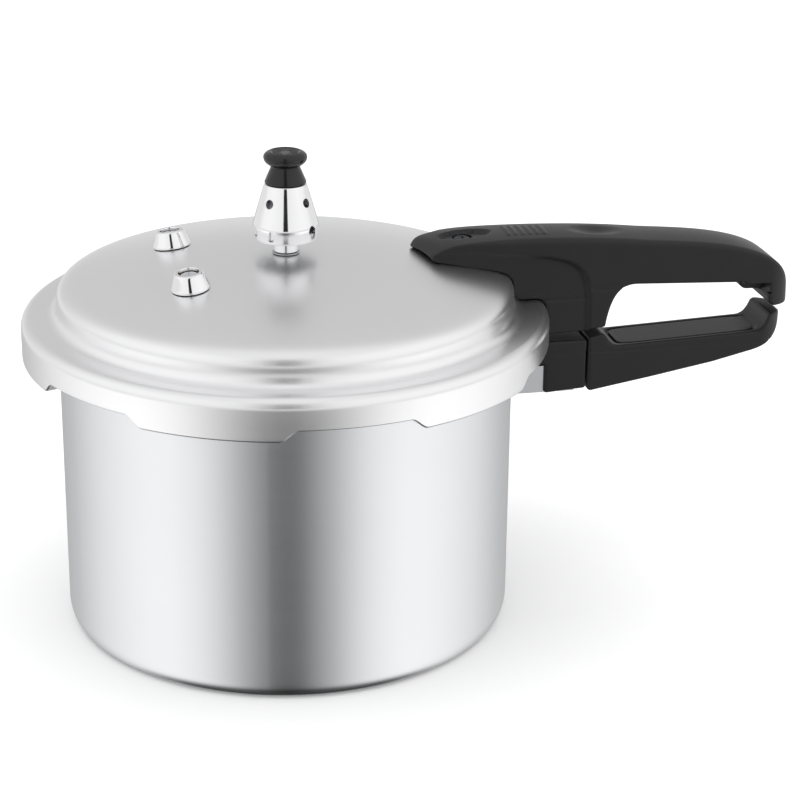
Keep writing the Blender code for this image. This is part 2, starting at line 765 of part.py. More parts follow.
def make_weight_shroud():
    """A thin chromed cone over the weight, pierced for the steam."""
    bore = STUD_R + GAP
    wall = SHROUD_WALL
    profile = [(bore, SHROUD_TOP_Z)] + shroud_outer()
    profile += [
        (SHROUD_R - wall, SHROUD_BASE_Z),
        (SHROUD_R - wall, SHROUD_BAND_Z - 0.8),
        (SHROUD_TOP_R - wall - 0.2, SHROUD_TOP_Z - wall),
        (bore, SHROUD_TOP_Z - wall),
    ]
    shroud = turned("weight_shroud", profile, VALVE_STEPS, bright_chrome, closed=True)
    upper = rod("shroud_upper_holes", 2.2, 12, (15, 0, 213.9), (1, 0, 0), 12)
    combine(shroud, around_axis(upper, 4, -47.5))
    lower = rod("shroud_lower_holes", 2.3, 8, (16, 0, 200.2), (1, 0, 0), 12)
    combine(shroud, around_axis(lower, 2, -47.5))
    return shroud


def make_weight_core():
    """The slug whose needle tip closes the vent pipe; its top takes the knob's stud."""
    top = SHROUD_TOP_Z - SHROUD_WALL - GAP
    profile = [(0.0, 214.0), (STUD_R + GAP, 214.0), (STUD_R + GAP, top), (7.4, top)]
    profile += [(9.0, 216.0), (9.0, 207.4), (8.0, 206.4), (3.4, 206.2), (1.0, 203.2), (0.0, 202.2)]
    return turned("weight_core", profile, VALVE_STEPS, zinc_steel)


def make_weight_knob():
    base = SHROUD_TOP_Z + GAP
    profile = [(0.0, 237.3), (6.0, 237.3), (7.4, KNOB_TOP_Z), (9.4, 237.2), (10.4, 236.2)]
    profile += [(10.7, 235.1), (10.4, 233.6), (9.5, 232.3), (8.2, 231.3), (7.1, 230.7)]
    profile += [(7.1, 230.1), (10.2, base + 0.6), (10.0, base)]
    profile += [(STUD_R + GAP, base), (STUD_R + GAP, 234.0), (0.0, 234.0)]
    return turned("weight_knob", profile, VALVE_STEPS, black_bakelite)


def make_knob_stud():
    profile = [(0.0, 233.6), (STUD_R - 0.5, 233.6), (STUD_R, 233.1), (STUD_R, 214.9)]
    profile += [(STUD_R - 0.5, 214.4), (0.0, 214.4)]
    return turned("knob_stud", profile, SMALL_STEPS, zinc_steel)


def make_weight_clip():
    """The spring washer in the shroud's mouth that keeps the weight on the pipe."""
    outline_r = SHROUD_R - SHROUD_WALL - GAP
    profile = [(4.2 + GAP, 199.0), (outline_r, 199.0), (outline_r, 198.2), (4.2 + GAP, 198.2)]
    clip = turned("weight_clip", profile, VALVE_STEPS, zinc_steel, closed=True)
    windows = lug_sector("clip_windows", 7.4, 12.4, 70, (195, 202))
    combine(clip, around_axis(windows, 3, 30))
    return clip


clear_scene()
parts = new_collection(COLLECTION_NAME)
cutters = new_collection("cutters")
pot_envelope = turned(
    "pot_envelope",
    [(0.0, 150.0), (POT_R + GAP, 150.0), (POT_R + GAP, -5.0), (0.0, -5.0)],
    LID_STEPS,
)

make_pot_body()
make_handle_bracket()
make_bracket_rivets()
make_lower_handle_collar()
make_lower_handle_grip()
make_lower_handle_inlay()
make_lower_handle_screw()
make_sealing_ring()
make_lid_shell()
make_vent_pipe()
make_vent_washer()
make_vent_nut()
make_anti_block_cap()
for valve_key, valve_azimuth in SAFETY_AZIMUTHS.items():
    make_safety_valve(valve_key, valve_azimuth)
make_upper_handle()
make_lid_stud()
make_handle_screws()
make_weight_shroud()
make_weight_core()
make_weight_knob()
make_knob_stud()
make_weight_clip()
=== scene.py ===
"""Finished surfaces, materials and studio for the pressure canner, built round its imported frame.

Lengths in the shape tables are millimetres.  Every piece is a surface worked out as whole arrays:
a profile turned round an axis, or a side outline given its thickness.
"""

import json

import bmesh
import bpy
import numpy as np
from bpy.props import FloatProperty, FloatVectorProperty, IntProperty, PointerProperty
from mathutils import Matrix, Vector
from mathutils.geometry import delaunay_2d_cdt

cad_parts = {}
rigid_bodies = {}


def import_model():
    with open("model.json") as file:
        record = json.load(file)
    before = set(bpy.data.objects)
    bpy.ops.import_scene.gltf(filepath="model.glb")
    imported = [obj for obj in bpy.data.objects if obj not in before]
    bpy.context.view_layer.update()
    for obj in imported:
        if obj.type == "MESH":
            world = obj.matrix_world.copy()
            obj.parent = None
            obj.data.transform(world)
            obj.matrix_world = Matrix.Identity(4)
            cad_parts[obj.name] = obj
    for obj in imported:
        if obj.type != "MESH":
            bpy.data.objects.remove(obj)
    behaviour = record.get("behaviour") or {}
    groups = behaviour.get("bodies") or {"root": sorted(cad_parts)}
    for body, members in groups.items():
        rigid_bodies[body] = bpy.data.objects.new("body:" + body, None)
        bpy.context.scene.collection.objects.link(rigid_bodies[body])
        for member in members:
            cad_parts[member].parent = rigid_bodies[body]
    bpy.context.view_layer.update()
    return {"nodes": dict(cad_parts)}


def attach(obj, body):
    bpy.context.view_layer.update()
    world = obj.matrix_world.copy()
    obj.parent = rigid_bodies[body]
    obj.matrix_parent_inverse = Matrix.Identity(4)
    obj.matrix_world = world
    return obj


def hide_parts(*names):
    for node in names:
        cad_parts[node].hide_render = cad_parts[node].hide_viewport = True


bl_info = {
    "name": "Pressure Canner Finish",
    "version": (1, 0, 0),
    "blender": (4, 5, 0),
    "location": "3D View > Sidebar > Canner",
    "description": "Builds the finished surfaces, materials and studio of a pressure canner",
    "category": "Object",
}

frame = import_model()

MM = 0.001
TURNING_UV = "turning"

# Lid: crown, dome, brim, skirt and bayonet lugs.
LID_TOP = 186.8
CROWN_R = 98.0
CROWN_DROP = 10.5
LID_WALL = 2.5
VENT_HOLE_R = 5.1
DOME_WALL = (112.3, 166.5)
DOME_FOOT = (117.8, 158.8)
BRIM_Z = 158.9
SKIRT_R = 130.0
SKIRT_CORNER = 5.2
LUG_COUNT = 6
LUG_TURN = 4.5
LID_LUG_HALF = 16.43
LID_LUG_FLANK = 2.0
POT_LUG_HALF = 11.5
POT_LUG_FLANK = 0.35

# Pot.
POT_R = 112.0
POT_INNER_R = 109.3
POT_FLOOR = 3.6
RIM_Z = 145.2

# Safety valves: distance from the axis, and azimuths.
SAFETY_R = 62.0
SAFETY_AZIMUTHS = (("a", 147.0), ("b", -146.0))

# Weight: azimuth of its first steam hole.
STEAM_HOLE_AZIMUTH = -47.5

# Handles.
UPPER_HALF = 15.0
UPPER_TIP = 260.0
LOWER_TIP = 256.6
TIP_CORNER = 12.0
FRONT_SCREW_X = 88.5
BLOCK_RECESS = 1.5
LID_CLEARANCE = 0.5
SEAM_WIDTH = 0.8
BLOCK_SEAM = 158.5
GRIP_SEAM = 163.0
LOWER_SEAM = 130.0

# The panel inlaid in the lower grip: middle, half-length and half-width.
PANEL_X = 205.5
PANEL_HALF = (36.5, 11.0)


def hex_colour(text):
    """An sRGB hex value as linear red, green and blue: c/12.92, or ((c + 0.055)/1.055)^2.4."""
    value = np.array([int(text[i : i + 2], 16) for i in (1, 3, 5)]) / 255
    linear = np.where(value <= 0.04045, value / 12.92, ((value + 0.055) / 1.055) ** 2.4)
    return tuple(float(c) for c in linear)


class CannerFinish(bpy.types.PropertyGroup):
    """Colours and grain sizes of the canner's materials."""

    wall_colour: FloatVectorProperty(
        name="Pot aluminium",
        description="Base colour of the spun pot wall",
        subtype="COLOR",
        default=hex_colour("#E4E5E7"),
        min=0.0,
        max=1.0,
    )
    lid_colour: FloatVectorProperty(
        name="Lid aluminium",
        description="Base colour of the satin lid",
        subtype="COLOR",
        default=hex_colour("#F4F4F5"),
        min=0.0,
        max=1.0,
    )
    chrome_colour: FloatVectorProperty(
        name="Chrome",
        description="Base colour of the plated weight and valve caps",
        subtype="COLOR",
        default=hex_colour("#F3F3F4"),
        min=0.0,
        max=1.0,
    )
    bakelite_colour: FloatVectorProperty(
        name="Bakelite",
        description="Base colour of the moulded handles and knob",
        subtype="COLOR",
        default=hex_colour("#1E1E1F"),
        min=0.0,
        max=1.0,
    )
    lathe_pitch: FloatProperty(
        name="Lathe pitch",
        description="Distance between the fine rings left on the pot wall",
        default=1.1 * MM,
        min=0.2 * MM,
        max=5 * MM,
        precision=5,
        subtype="DISTANCE",
    )
    blast_grain: FloatProperty(
        name="Blast grain",
        description="Size of the lid's satin grain, drawn coarser than the real 0.1 mm",
        default=0.6 * MM,
        min=0.1 * MM,
        max=3 * MM,
        precision=5,
        subtype="DISTANCE",
    )


class CannerShape(bpy.types.PropertyGroup):
    """Sizes and resolutions of the canner's new surfaces."""

    turn_columns: IntProperty(
        name="Columns round a turned piece",
        description="Number of faces round the small turned pieces",
        default=96,
        min=24,
        max=256,
    )
    handle_edge: FloatProperty(
        name="Handle edge radius",
        description="Radius along the top edges of the handles",
        default=2.4 * MM,
        min=0.5 * MM,
        max=4 * MM,
        precision=5,
        subtype="DISTANCE",
    )
    handle_crown: FloatProperty(
        name="Handle crown",
        description="How far the handle's top face drops from its middle to its edges",
        default=1.2 * MM,
        min=0.0,
        max=3 * MM,
        precision=5,
        subtype="DISTANCE",
    )
    thumb_depth: FloatProperty(
        name="Thumb dish depth",
        description="Depth of the oval dish in the handle's top face",
        default=2.0 * MM,
        min=0.0,
        max=4 * MM,
        precision=5,
        subtype="DISTANCE",
    )


class CannerStudio(bpy.types.PropertyGroup):
    """Light and camera of the studio."""

    lens: FloatProperty(
        name="Lens",
        description="Focal length of the camera on a 36 mm sensor",
        default=101.6,
        min=20.0,
        max=300.0,
        unit="CAMERA",
    )
    overhead: FloatProperty(
        name="Overhead light",
        description="Strength of the wide overhead lamp that whitens the floor",
        default=1.7,
        min=0.0,
        max=10.0,
    )
    surround: FloatProperty(
        name="Surround light",
        description="Strength of the soft boxes round the object",
        default=1.0,
        min=0.0,
        max=5.0,
    )


# Curves and outlines.


def smoothstep(low, high, x):
    """0 below low, 1 above high and 3t^2 - 2t^3 between them."""
    t = np.clip((np.asarray(x, float) - low) / (high - low), 0.0, 1.0)
    return t * t * (3 - 2 * t)


def bezier(p0, p1, p2, p3, count=12):
    """(1-t)^3 p0 + 3t(1-t)^2 p1 + 3t^2(1-t) p2 + t^3 p3, for count values of t above zero."""
    t = np.linspace(0, 1, count + 1)[1:, None]
    ends = (1 - t) ** 3 * np.array(p0) + t**3 * np.array(p3)
    return ends + 3 * t * (1 - t) ** 2 * np.array(p1) + 3 * t**2 * (1 - t) * np.array(p2)


def arc(centre, radius, start, end, count=8):
    """centre + radius (cos a, sin a), for a from start to end in degrees."""
    a = np.radians(np.linspace(start, end, count))
    return np.array(centre) + radius * np.stack([np.cos(a), np.sin(a)], axis=1)


def joined(*parts):
    """All the given points and rows of points as one row."""
    return np.concatenate([np.atleast_2d(np.asarray(p, float)) for p in parts])


def soften(points, cut, steps=6, closed=False):
    """Each corner P becomes (1-t)^2 A + 2t(1-t) P + t^2 B.

    A and B lie on the corner's two sides at the cut distance, or at 45% of a shorter side.
    """
    p = np.asarray(points, float)
    back = np.roll(p, 1, axis=0) - p
    ahead = np.roll(p, -1, axis=0) - p
    if not closed:
        back[0] = 0
        ahead[-1] = 0
    back_length = np.linalg.norm(back, axis=1)
    ahead_length = np.linalg.norm(ahead, axis=1)
    reach = np.minimum(cut, 0.45 * np.minimum(back_length, ahead_length))
    a = p + back * (reach / np.maximum(back_length, 1e-9))[:, None]
    b = p + ahead * (reach / np.maximum(ahead_length, 1e-9))[:, None]
    t = np.linspace(0, 1, steps)[None, :, None]
    curve = (1 - t) ** 2 * a[:, None] + 2 * t * (1 - t) * p[:, None] + t**2 * b[:, None]
    return curve.reshape(-1, 2)


def spaced(points, step, closed=False):
    """Straight stretches longer than step are split evenly; repeated points are dropped."""
    p = np.asarray(points, float)
    q = np.roll(p, -1, axis=0)
    if not closed:
        q[-1] = p[-1]
    length = np.linalg.norm(q - p, axis=1)
    if not closed:
        length[-1] = 1e-3
    keep = length > 1e-4
    p, q, length = p[keep], q[keep], length[keep]
    counts = np.maximum(1, np.ceil(length / step)).astype(int)
    owner = np.repeat(np.arange(len(p)), counts)
    part = np.arange(counts.sum()) - np.repeat(np.cumsum(counts) - counts, counts)
    return p[owner] + (q - p)[owner] * (part / counts[owner])[:, None]


def normals(points, closed=False):
    """Unit sideways direction (dz, -dx) of the chord between each point's neighbours."""
    p = np.asarray(points, float)
    if closed:
        chord = np.roll(p, -1, axis=0) - np.roll(p, 1, axis=0)
    else:
        chord = np.gradient(p, axis=0)
    chord /= np.maximum(np.linalg.norm(chord, axis=1), 1e-12)[:, None]
    return np.stack([chord[:, 1], -chord[:, 0]], axis=1)


# Meshes and pieces.


def finish_mesh(mesh, sharp=38.0):
    """Welds seams and poles, turns faces outwards and shades smooth up to the sharp angle."""
    work = bmesh.new()
    work.from_mesh(mesh)
    bmesh.ops.remove_doubles(work, verts=work.verts, dist=0.0005 * MM)
    bmesh.ops.recalc_face_normals(work, faces=work.faces)
    work.to_mesh(mesh)
    work.free()
    mesh.shade_smooth()
    mesh.set_sharp_from_angle(angle=float(np.radians(sharp)))


def add_piece(name, mesh, material, body, slot, *nodes):
    """Links a finished mesh, gives it its material, ties it to its body and hides the CAD nodes it
    stands for.
    """
    obj = bpy.data.objects.new(name, mesh)
    bpy.context.scene.collection.objects.link(obj)
    mesh.materials.clear()
    mesh.materials.append(material)
    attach(obj, body)
    if nodes:
        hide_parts(*nodes)
    return obj


def grid_mesh(name, grid, uv):
    """Quads between neighbours of a grid of points in millimetres, with one UV pair a point."""
    rows, columns = grid.shape[:2]
    index = np.arange(rows * columns).reshape(rows, columns)
    corners = (index[:-1, :-1], index[1:, :-1], index[1:, 1:], index[:-1, 1:])
    quads = np.stack(corners, axis=-1).reshape(-1, 4)
    mesh = bpy.data.meshes.new(name)
    mesh.from_pydata(grid.reshape(-1, 3) * MM, [], quads)
    layer = mesh.uv_layers.new(name=TURNING_UV)
    layer.data.foreach_set("uv", uv.reshape(-1, 2)[quads.ravel()].ravel())
    return mesh


def turned_grid(radius, height, angle):
    """(r cos a, r sin a, z), with r and z one row a profile point and one column an angle."""
    shape = np.broadcast_shapes(radius.shape, height.shape, angle.shape)
    radius, height, angle = (np.broadcast_to(v, shape) for v in (radius, height, angle))
    return np.stack([radius * np.cos(angle), radius * np.sin(angle), height], axis=-1)


def turned_uv(radius, height, angle):
    """u follows the angle and v the length along the profile, both in metres at the widest turn."""
    run = np.diff(radius[:, 0], prepend=radius[0, 0])
    climb = np.diff(height[:, 0], prepend=height[0, 0])
    step = np.hypot(run, climb)
    v = np.cumsum(step)[:, None] * MM
    u = angle * radius.max() * MM
    shape = np.broadcast_shapes(v.shape, u.shape)
    return np.stack([np.broadcast_to(u, shape), np.broadcast_to(v, shape)], axis=-1)


def turned(name, profile, columns, closed=True, relief=None):
    """A profile of (radius, height) turned round Z, closed on itself unless it ends on the axis.

    relief, where given, moves the points: it takes and returns the grid.
    """
    profile = np.asarray(profile, float)
    if closed:
        profile = joined(profile, profile[0])
    angle = np.linspace(0, 2 * np.pi, columns + 1)[None, :]
    radius = profile[:, :1]
    height = profile[:, 1:]
    grid = turned_grid(radius, height, angle)
    if relief:
        grid = relief(grid)
    mesh = grid_mesh(name, grid, turned_uv(radius, height, angle))
    finish_mesh(mesh)
    return mesh


def rounded_turn(name, profile, columns, cut=0.3, closed=True, step=4.0, relief=None):
    """turned(), with the profile's corners softened and its long stretches split."""
    outline = spaced(soften(profile, cut, closed=closed), step, closed)
    if not closed:
        outline = joined(outline, profile[-1])
    return turned(name, outline, columns, closed, relief)


def lug_weight(angle, half, flank):
    """1 on each bayonet lug and 0 in each gap, with a smooth S between them."""
    pitch = 360 / LUG_COUNT
    away = np.abs((np.degrees(angle) - LUG_TURN + pitch / 2) % pitch - pitch / 2)
    return 1 - smoothstep(half - flank, half + flank, away)


def lug_angles(half, flank):
    """Every second degree round the axis, and many angles across each lug's flanks."""
    pitch = 360 / LUG_COUNT
    middles = np.arange(LUG_COUNT) * pitch + LUG_TURN
    across = np.linspace(-1.15 * flank, 1.15 * flank, 13)
    flanks = (middles[:, None, None] + np.array([half, -half])[None, :, None] + across).ravel()
    even = np.arange(0, 360, 2.0)
    clear = np.abs((even - LUG_TURN + pitch / 2) % pitch - pitch / 2)
    even = even[np.abs(clear - half) > 1.3 * flank]
    angle = np.unique(np.round(np.concatenate([even, flanks % 360]), 4))
    return np.radians(np.append(angle, angle[0] + 360))[None, :]


def lugged(name, before, lug, gap, after, half, flank):
    """A turned shell whose lip changes from lug to gap and back: lip = gap + weight (lug - gap)."""
    angle = lug_angles(half, flank)
    weight = lug_weight(angle, half, flank)
    lip = gap[:, :, None] + (lug - gap)[:, :, None] * weight[0][None, None, :]
    ones = np.ones(angle.shape[1])
    rows = [before[:, :, None] * ones, lip, after[:, :, None] * ones, before[:1, :, None] * ones]
    table = np.concatenate(rows)
    radius, height = table[:, 0], table[:, 1]
    mesh = grid_mesh(name, turned_grid(radius, height, angle), turned_uv(radius, height, angle))
    finish_mesh(mesh)
    return mesh


def moved_mesh(mesh, matrix):
    """The same mesh with every point moved by the matrix."""
    mesh.transform(matrix)
    return mesh


def rod_mesh(name, radius, low, high, columns=40):
    """A plain cylinder from low to high, used to cut holes."""
    profile = [(0.0, high), (radius, high), (radius, low), (0.0, low)]
    return turned(name, profile, columns, closed=False)


def cut_away(mesh, *cutters):
    """The exact difference of a mesh and one or more cutters, as a new mesh of the same name."""
    target = bpy.data.objects.new("cut_target", mesh)
    bpy.context.scene.collection.objects.link(target)
    tools = []
    for cutter in cutters:
        tool = bpy.data.objects.new("cut_tool", cutter)
        bpy.context.scene.collection.objects.link(tool)
        modifier = target.modifiers.new("Cut", "BOOLEAN")
        modifier.operation = "DIFFERENCE"
        modifier.solver = "EXACT"
        modifier.object = tool
        tools.append(tool)
    bpy.context.view_layer.update()
    graph = bpy.context.evaluated_depsgraph_get()
    result = bpy.data.meshes.new_from_object(target.evaluated_get(graph))
    name = mesh.name
    for obj in (target, *tools):
        used = obj.data
        bpy.data.objects.remove(obj, do_unlink=True)
        bpy.data.meshes.remove(used)
    result.name = name
    result.shade_smooth()
    result.set_sharp_from_angle(angle=float(np.radians(38.0)))
    return result


def inside(points, polygon):
    """True for a point whose ray along +X crosses the polygon an odd number of times."""
    a = polygon[None]
    b = np.roll(polygon, -1, axis=0)[None]
    x, z = points[:, :1], points[:, 1:]
    spans = (a[..., 1] > z) != (b[..., 1] > z)
    rise = np.where(np.abs(b[..., 1] - a[..., 1]) < 1e-9, 1e-9, b[..., 1] - a[..., 1])
    crossing = (b[..., 0] - a[..., 0]) * (z - a[..., 1]) / rise + a[..., 0]
    return (spans & (x < crossing)).sum(axis=1) % 2 == 1


def side_fill(ring, spacing, seams):
    """Triangles over the inside of a ring: a grid of points, and close rows beside each seam height."""
    low, high = ring.min(axis=0), ring.max(axis=0)
    xs = np.arange(low[0], high[0], spacing)
    zs = np.arange(low[1], high[1], spacing * 0.87)
    for seam in seams:
        zs = zs[np.abs(zs - seam) > 1.2]
        zs = np.append(zs, seam + np.array([-0.9, -0.45, 0.0, 0.45, 0.9]))
    zs = np.sort(zs)
    shift = (np.arange(len(zs)) % 2)[:, None] * spacing / 2
    grid = np.stack([xs[None, :] + shift, np.broadcast_to(zs[:, None], (len(zs), len(xs)))], axis=-1)
    grid = grid.reshape(-1, 2)
    grid = grid[inside(grid, ring)]
    away = np.sqrt(((grid[:, None] - ring[None]) ** 2).sum(axis=2).min(axis=1))
    grid = grid[away > 0.45 * spacing]
    points = [Vector(p) for p in np.concatenate([ring, grid])]
    found = delaunay_2d_cdt(points, [], [list(range(len(ring)))], 1, 1e-7)
    if len(found[0]) != len(points):
        raise RuntimeError(f"side outline crosses itself: {len(found[0])} points from {len(points)}")
    return grid, np.array(found[2])


def eased_edge(outline, edge, sign):
    """Edge radius at each point, kept under 0.7 of the outline's own radius where it turns outwards.

    The outline's radius is the mean length of the two sides over the angle between them.
    """
    back = outline - np.roll(outline, 1, axis=0)
    ahead = np.roll(outline, -1, axis=0) - outline
    cross = back[:, 0] * ahead[:, 1] - back[:, 1] * ahead[:, 0]
    turn = np.arctan2(cross, (back * ahead).sum(axis=1)) * sign
    length = (np.linalg.norm(back, axis=1) + np.linalg.norm(ahead, axis=1)) / 2
    limit = np.where(turn > 1e-3, 0.7 * length / np.maximum(turn, 1e-3), np.inf)
    limited = np.minimum(edge, limit)
    least = np.min([np.roll(limited, shift) for shift in range(-6, 7)], axis=0)
    return smooth_round(least, 9)


def slab(name, outline, half, edge, across, spacing=1.2, seams=(), relief=None):
    """A moulded bar: a side outline in X and Z, thick in Y, with round edges and dense flat sides.

    Point k of the ring at edge angle a lies at outline + inward e (1 - cos a) and at
    y = half - e + e sin a; between the two edges y runs evenly.  relief moves the finished points.
    """
    count = len(outline)
    following = np.roll(outline, -1, axis=0)
    area = np.sum(outline[:, 0] * following[:, 1] - outline[:, 1] * following[:, 0])
    edge = eased_edge(outline, np.broadcast_to(np.asarray(edge, float), (count,)), np.sign(area))
    inward = -normals(outline, closed=True) * np.sign(area)
    a = np.radians(np.linspace(90, 0, 6))
    inset = edge[None] * (1 - np.cos(a))[:, None]
    y = half - edge[None] + edge[None] * np.sin(a)[:, None]
    middle = np.linspace(-1, 1, across)[1:-1, None] * (half - edge)[None]
    all_y = np.concatenate([-y, middle, y[::-1]])
    all_inset = np.concatenate([inset, np.zeros_like(middle), inset[::-1]])
    flat = outline[None] + inward[None] * all_inset[:, :, None]
    rings = np.stack([flat[..., 0], all_y, flat[..., 1]], axis=-1)
    rows = len(rings)
    index = np.arange(rows * count).reshape(rows, count)
    ahead = np.roll(index, -1, axis=1)
    quads = np.stack([index[:-1], ahead[:-1], ahead[1:], index[1:]], axis=-1).reshape(-1, 4)
    grid, triangles = side_fill(flat[0], spacing, seams)
    ones = np.full(len(grid), half)
    near = np.stack([grid[:, 0], -ones, grid[:, 1]], axis=-1)
    far = np.stack([grid[:, 0], ones, grid[:, 1]], axis=-1)
    points = np.concatenate([rings.reshape(-1, 3), near, far])
    total = rows * count
    near_map = np.concatenate([index[0], total + np.arange(len(grid))])
    far_map = np.concatenate([index[-1], total + len(grid) + np.arange(len(grid))])
    faces = quads.tolist() + near_map[triangles].tolist() + far_map[triangles].tolist()
    if relief:
        points = relief(points)
    mesh = bpy.data.meshes.new(name)
    mesh.from_pydata(points * MM, [], faces)
    finish_mesh(mesh, 50.0)
    return mesh


def tip_plan(x, tip, half):
    """Half-width of a handle in plan: a quarter circle at the free end's corners."""
    run = np.clip(x - (tip - TIP_CORNER), 0, TIP_CORNER)
    return half - TIP_CORNER + np.sqrt(TIP_CORNER**2 - run**2)


def groove(distance, width, depth):
    """depth times a smooth dip that is 1 on the line and 0 beyond width from it."""
    return depth * (1 - smoothstep(0, width, np.abs(distance)))


# Materials.


def add_node(tree, kind, settings=None, inputs=None):
    """Adds a node with its settings; each input is a value or the socket that feeds it."""
    new = tree.nodes.new(kind)
    for key, value in (settings or {}).items():
        setattr(new, key, value)
    for key, value in (inputs or {}).items():
        if isinstance(value, bpy.types.NodeSocket):
            tree.links.new(value, new.inputs[key])
        else:
            new.inputs[key].default_value = value
    return new


def surface(name, colours, patch, roughness, grain, depth, **settings):
    """A shared material built from two noises, made the first time its name is asked for.

    colours are mixed by patches of the patch size.  The grain varies roughness between its two
    values and raises the surface by up to the depth.  Sizes are in metres.  settings may hold
    metallic, ior, level (of the specular reflection) and stretch (of the grain, along x, y and z).
    """
    material = bpy.data.materials.get(name)
    if material:
        return material
    material = bpy.data.materials.new(name)
    material.use_nodes = True
    tree = material.node_tree
    shader = tree.nodes["Principled BSDF"]
    coords = add_node(tree, "ShaderNodeTexCoord").outputs["Object"]
    patches = add_node(
        tree, "ShaderNodeTexNoise", {}, {"Vector": coords, "Scale": 1 / patch, "Detail": 3.0}
    )
    dark, light = ((*colour[:3], 1.0) for colour in colours)
    mixed = add_node(
        tree, "ShaderNodeMix", {"data_type": "RGBA"}, {0: patches.outputs["Fac"], 6: dark, 7: light}
    )
    scale = tuple(1 / (grain * share) for share in settings.get("stretch", (1, 1, 1)))
    placed = add_node(tree, "ShaderNodeMapping", {}, {"Vector": coords, "Scale": scale})
    skin = add_node(
        tree,
        "ShaderNodeTexNoise",
        {},
        {"Vector": placed.outputs["Vector"], "Scale": 1.0, "Detail": 3.0},
    ).outputs["Fac"]
    limits = {"Value": skin, "From Min": 0.3, "From Max": 0.7}
    limits.update({"To Min": roughness[0], "To Max": roughness[1]})
    uneven = add_node(tree, "ShaderNodeMapRange", {}, limits)
    relief = add_node(
        tree, "ShaderNodeBump", {}, {"Height": skin, "Strength": 0.12, "Distance": depth}
    )
    tree.links.new(mixed.outputs[2], shader.inputs["Base Color"])
    tree.links.new(uneven.outputs["Result"], shader.inputs["Roughness"])
    tree.links.new(relief.outputs["Normal"], shader.inputs["Normal"])
    shader.inputs["Metallic"].default_value = settings.get("metallic", 0.0)
    shader.inputs["IOR"].default_value = settings.get("ior", 1.5)
    shader.inputs["Specular IOR Level"].default_value = settings.get("level", 0.5)
    return material


def shades(colour, low, high):
    """The same colour times each of two factors."""
    return [tuple(min(1.0, c * factor) for c in colour) for factor in (low, high)]


def spun_aluminium():
    """Aluminium sheet spun on a lathe: broad soft reflections drawn out up the wall by fine rings.

    Cloudy patches are about 40 mm across.  Faint streaks one lathe pitch high run round the wall.
    """
    finish = bpy.context.scene.canner_finish
    tones = shades(finish.wall_colour, 0.97, 1.0)
    material = surface(
        "spun_aluminium",
        tones,
        0.04,
        (0.25, 0.27),
        finish.lathe_pitch,
        0.000004,
        metallic=1.0,
        stretch=(60, 60, 1),
    )
    tree = material.node_tree
    shader = tree.nodes["Principled BSDF"]
    along = add_node(tree, "ShaderNodeTangent", {"direction_type": "UV_MAP", "uv_map": TURNING_UV})
    tree.links.new(along.outputs["Tangent"], shader.inputs["Tangent"])
    shader.inputs["Anisotropic"].default_value = 0.6
    shader.inputs["Anisotropic Rotation"].default_value = 0.25
    return material


def satin_aluminium():
    """Pressed aluminium, bead-blasted and clear anodised: an even silvery sheen with a fine grain."""
    finish = bpy.context.scene.canner_finish
    tones = shades(finish.lid_colour, 0.975, 1.0)
    grain = finish.blast_grain
    return surface("satin_anodised", tones, 0.05, (0.28, 0.33), grain, 0.00002, metallic=1.0)


def bright_chrome():
    """Polished and chrome-plated steel: a clear mirror with a faint haze of handling marks."""
    tones = shades(bpy.context.scene.canner_finish.chrome_colour, 0.97, 1.0)
    return surface("chrome_plate", tones, 0.006, (0.04, 0.09), 0.006, 0.00001, metallic=1.0)


def moulded_bakelite():
    """Compression-moulded phenolic: near-black, a satin skin with a soft gloss on its edges.

    Its moulding grain of 0.5 mm is drawn coarser than the real skin, so that it shows.
    """
    tones = shades(bpy.context.scene.canner_finish.bakelite_colour, 0.85, 1.1)
    return surface(
        "moulded_bakelite", tones, 0.02, (0.33, 0.43), 0.0005, 0.00006, ior=1.6, level=0.2
    )


def polished_bakelite():
    """Phenolic polished after moulding: jet black, with small sharp highlights."""
    tones = (hex_colour("#0C0C0D"), hex_colour("#141415"))
    return surface(
        "polished_bakelite", tones, 0.008, (0.16, 0.24), 0.0008, 0.00003, ior=1.6, level=0.35
    )


def silicone_rubber():
    """Moulded silicone rubber: dull dark grey with a faint bloom."""
    tones = (hex_colour("#303033"), hex_colour("#3C3C40"))
    return surface("silicone_rubber", tones, 0.008, (0.5, 0.62), 0.0006, 0.00006, ior=1.41)


def zinc_steel():
    """Zinc-plated steel: a cool grey metal with a slightly uneven shine."""
    tones = (hex_colour("#AEB1B5"), hex_colour("#CBCDD0"))
    return surface("zinc_steel", tones, 0.004, (0.24, 0.36), 0.0012, 0.00003, metallic=1.0)


def blackened_steel():
    """Chemically blackened steel: a dark oily grey with a dull metal sheen."""
    tones = (hex_colour("#3A3B3E"), hex_colour("#55575B"))
    return surface("blackened_steel", tones, 0.003, (0.32, 0.45), 0.0008, 0.00004, metallic=1.0)


def turned_brass():
    """Machined brass: warm yellow metal with fine tool marks."""
    tones = (hex_colour("#B58E46"), hex_colour("#D2AE63"))
    return surface("turned_brass", tones, 0.006, (0.22, 0.34), 0.0008, 0.00003, metallic=1.0)


def dress_nodes(material, *names):
    """Gives kept frame nodes a material through their slots."""
    for name in names:
        for slot in frame["nodes"][name].material_slots:
            slot.material = material


# Pieces.


def crown_height(radius):
    """The crown's parabola: top - drop (r / R)^2."""
    return LID_TOP - CROWN_DROP * (radius / CROWN_R) ** 2


def crown_slope(radius):
    """The parabola's slope: -2 drop r / R^2."""
    return -2 * CROWN_DROP * radius / CROWN_R**2


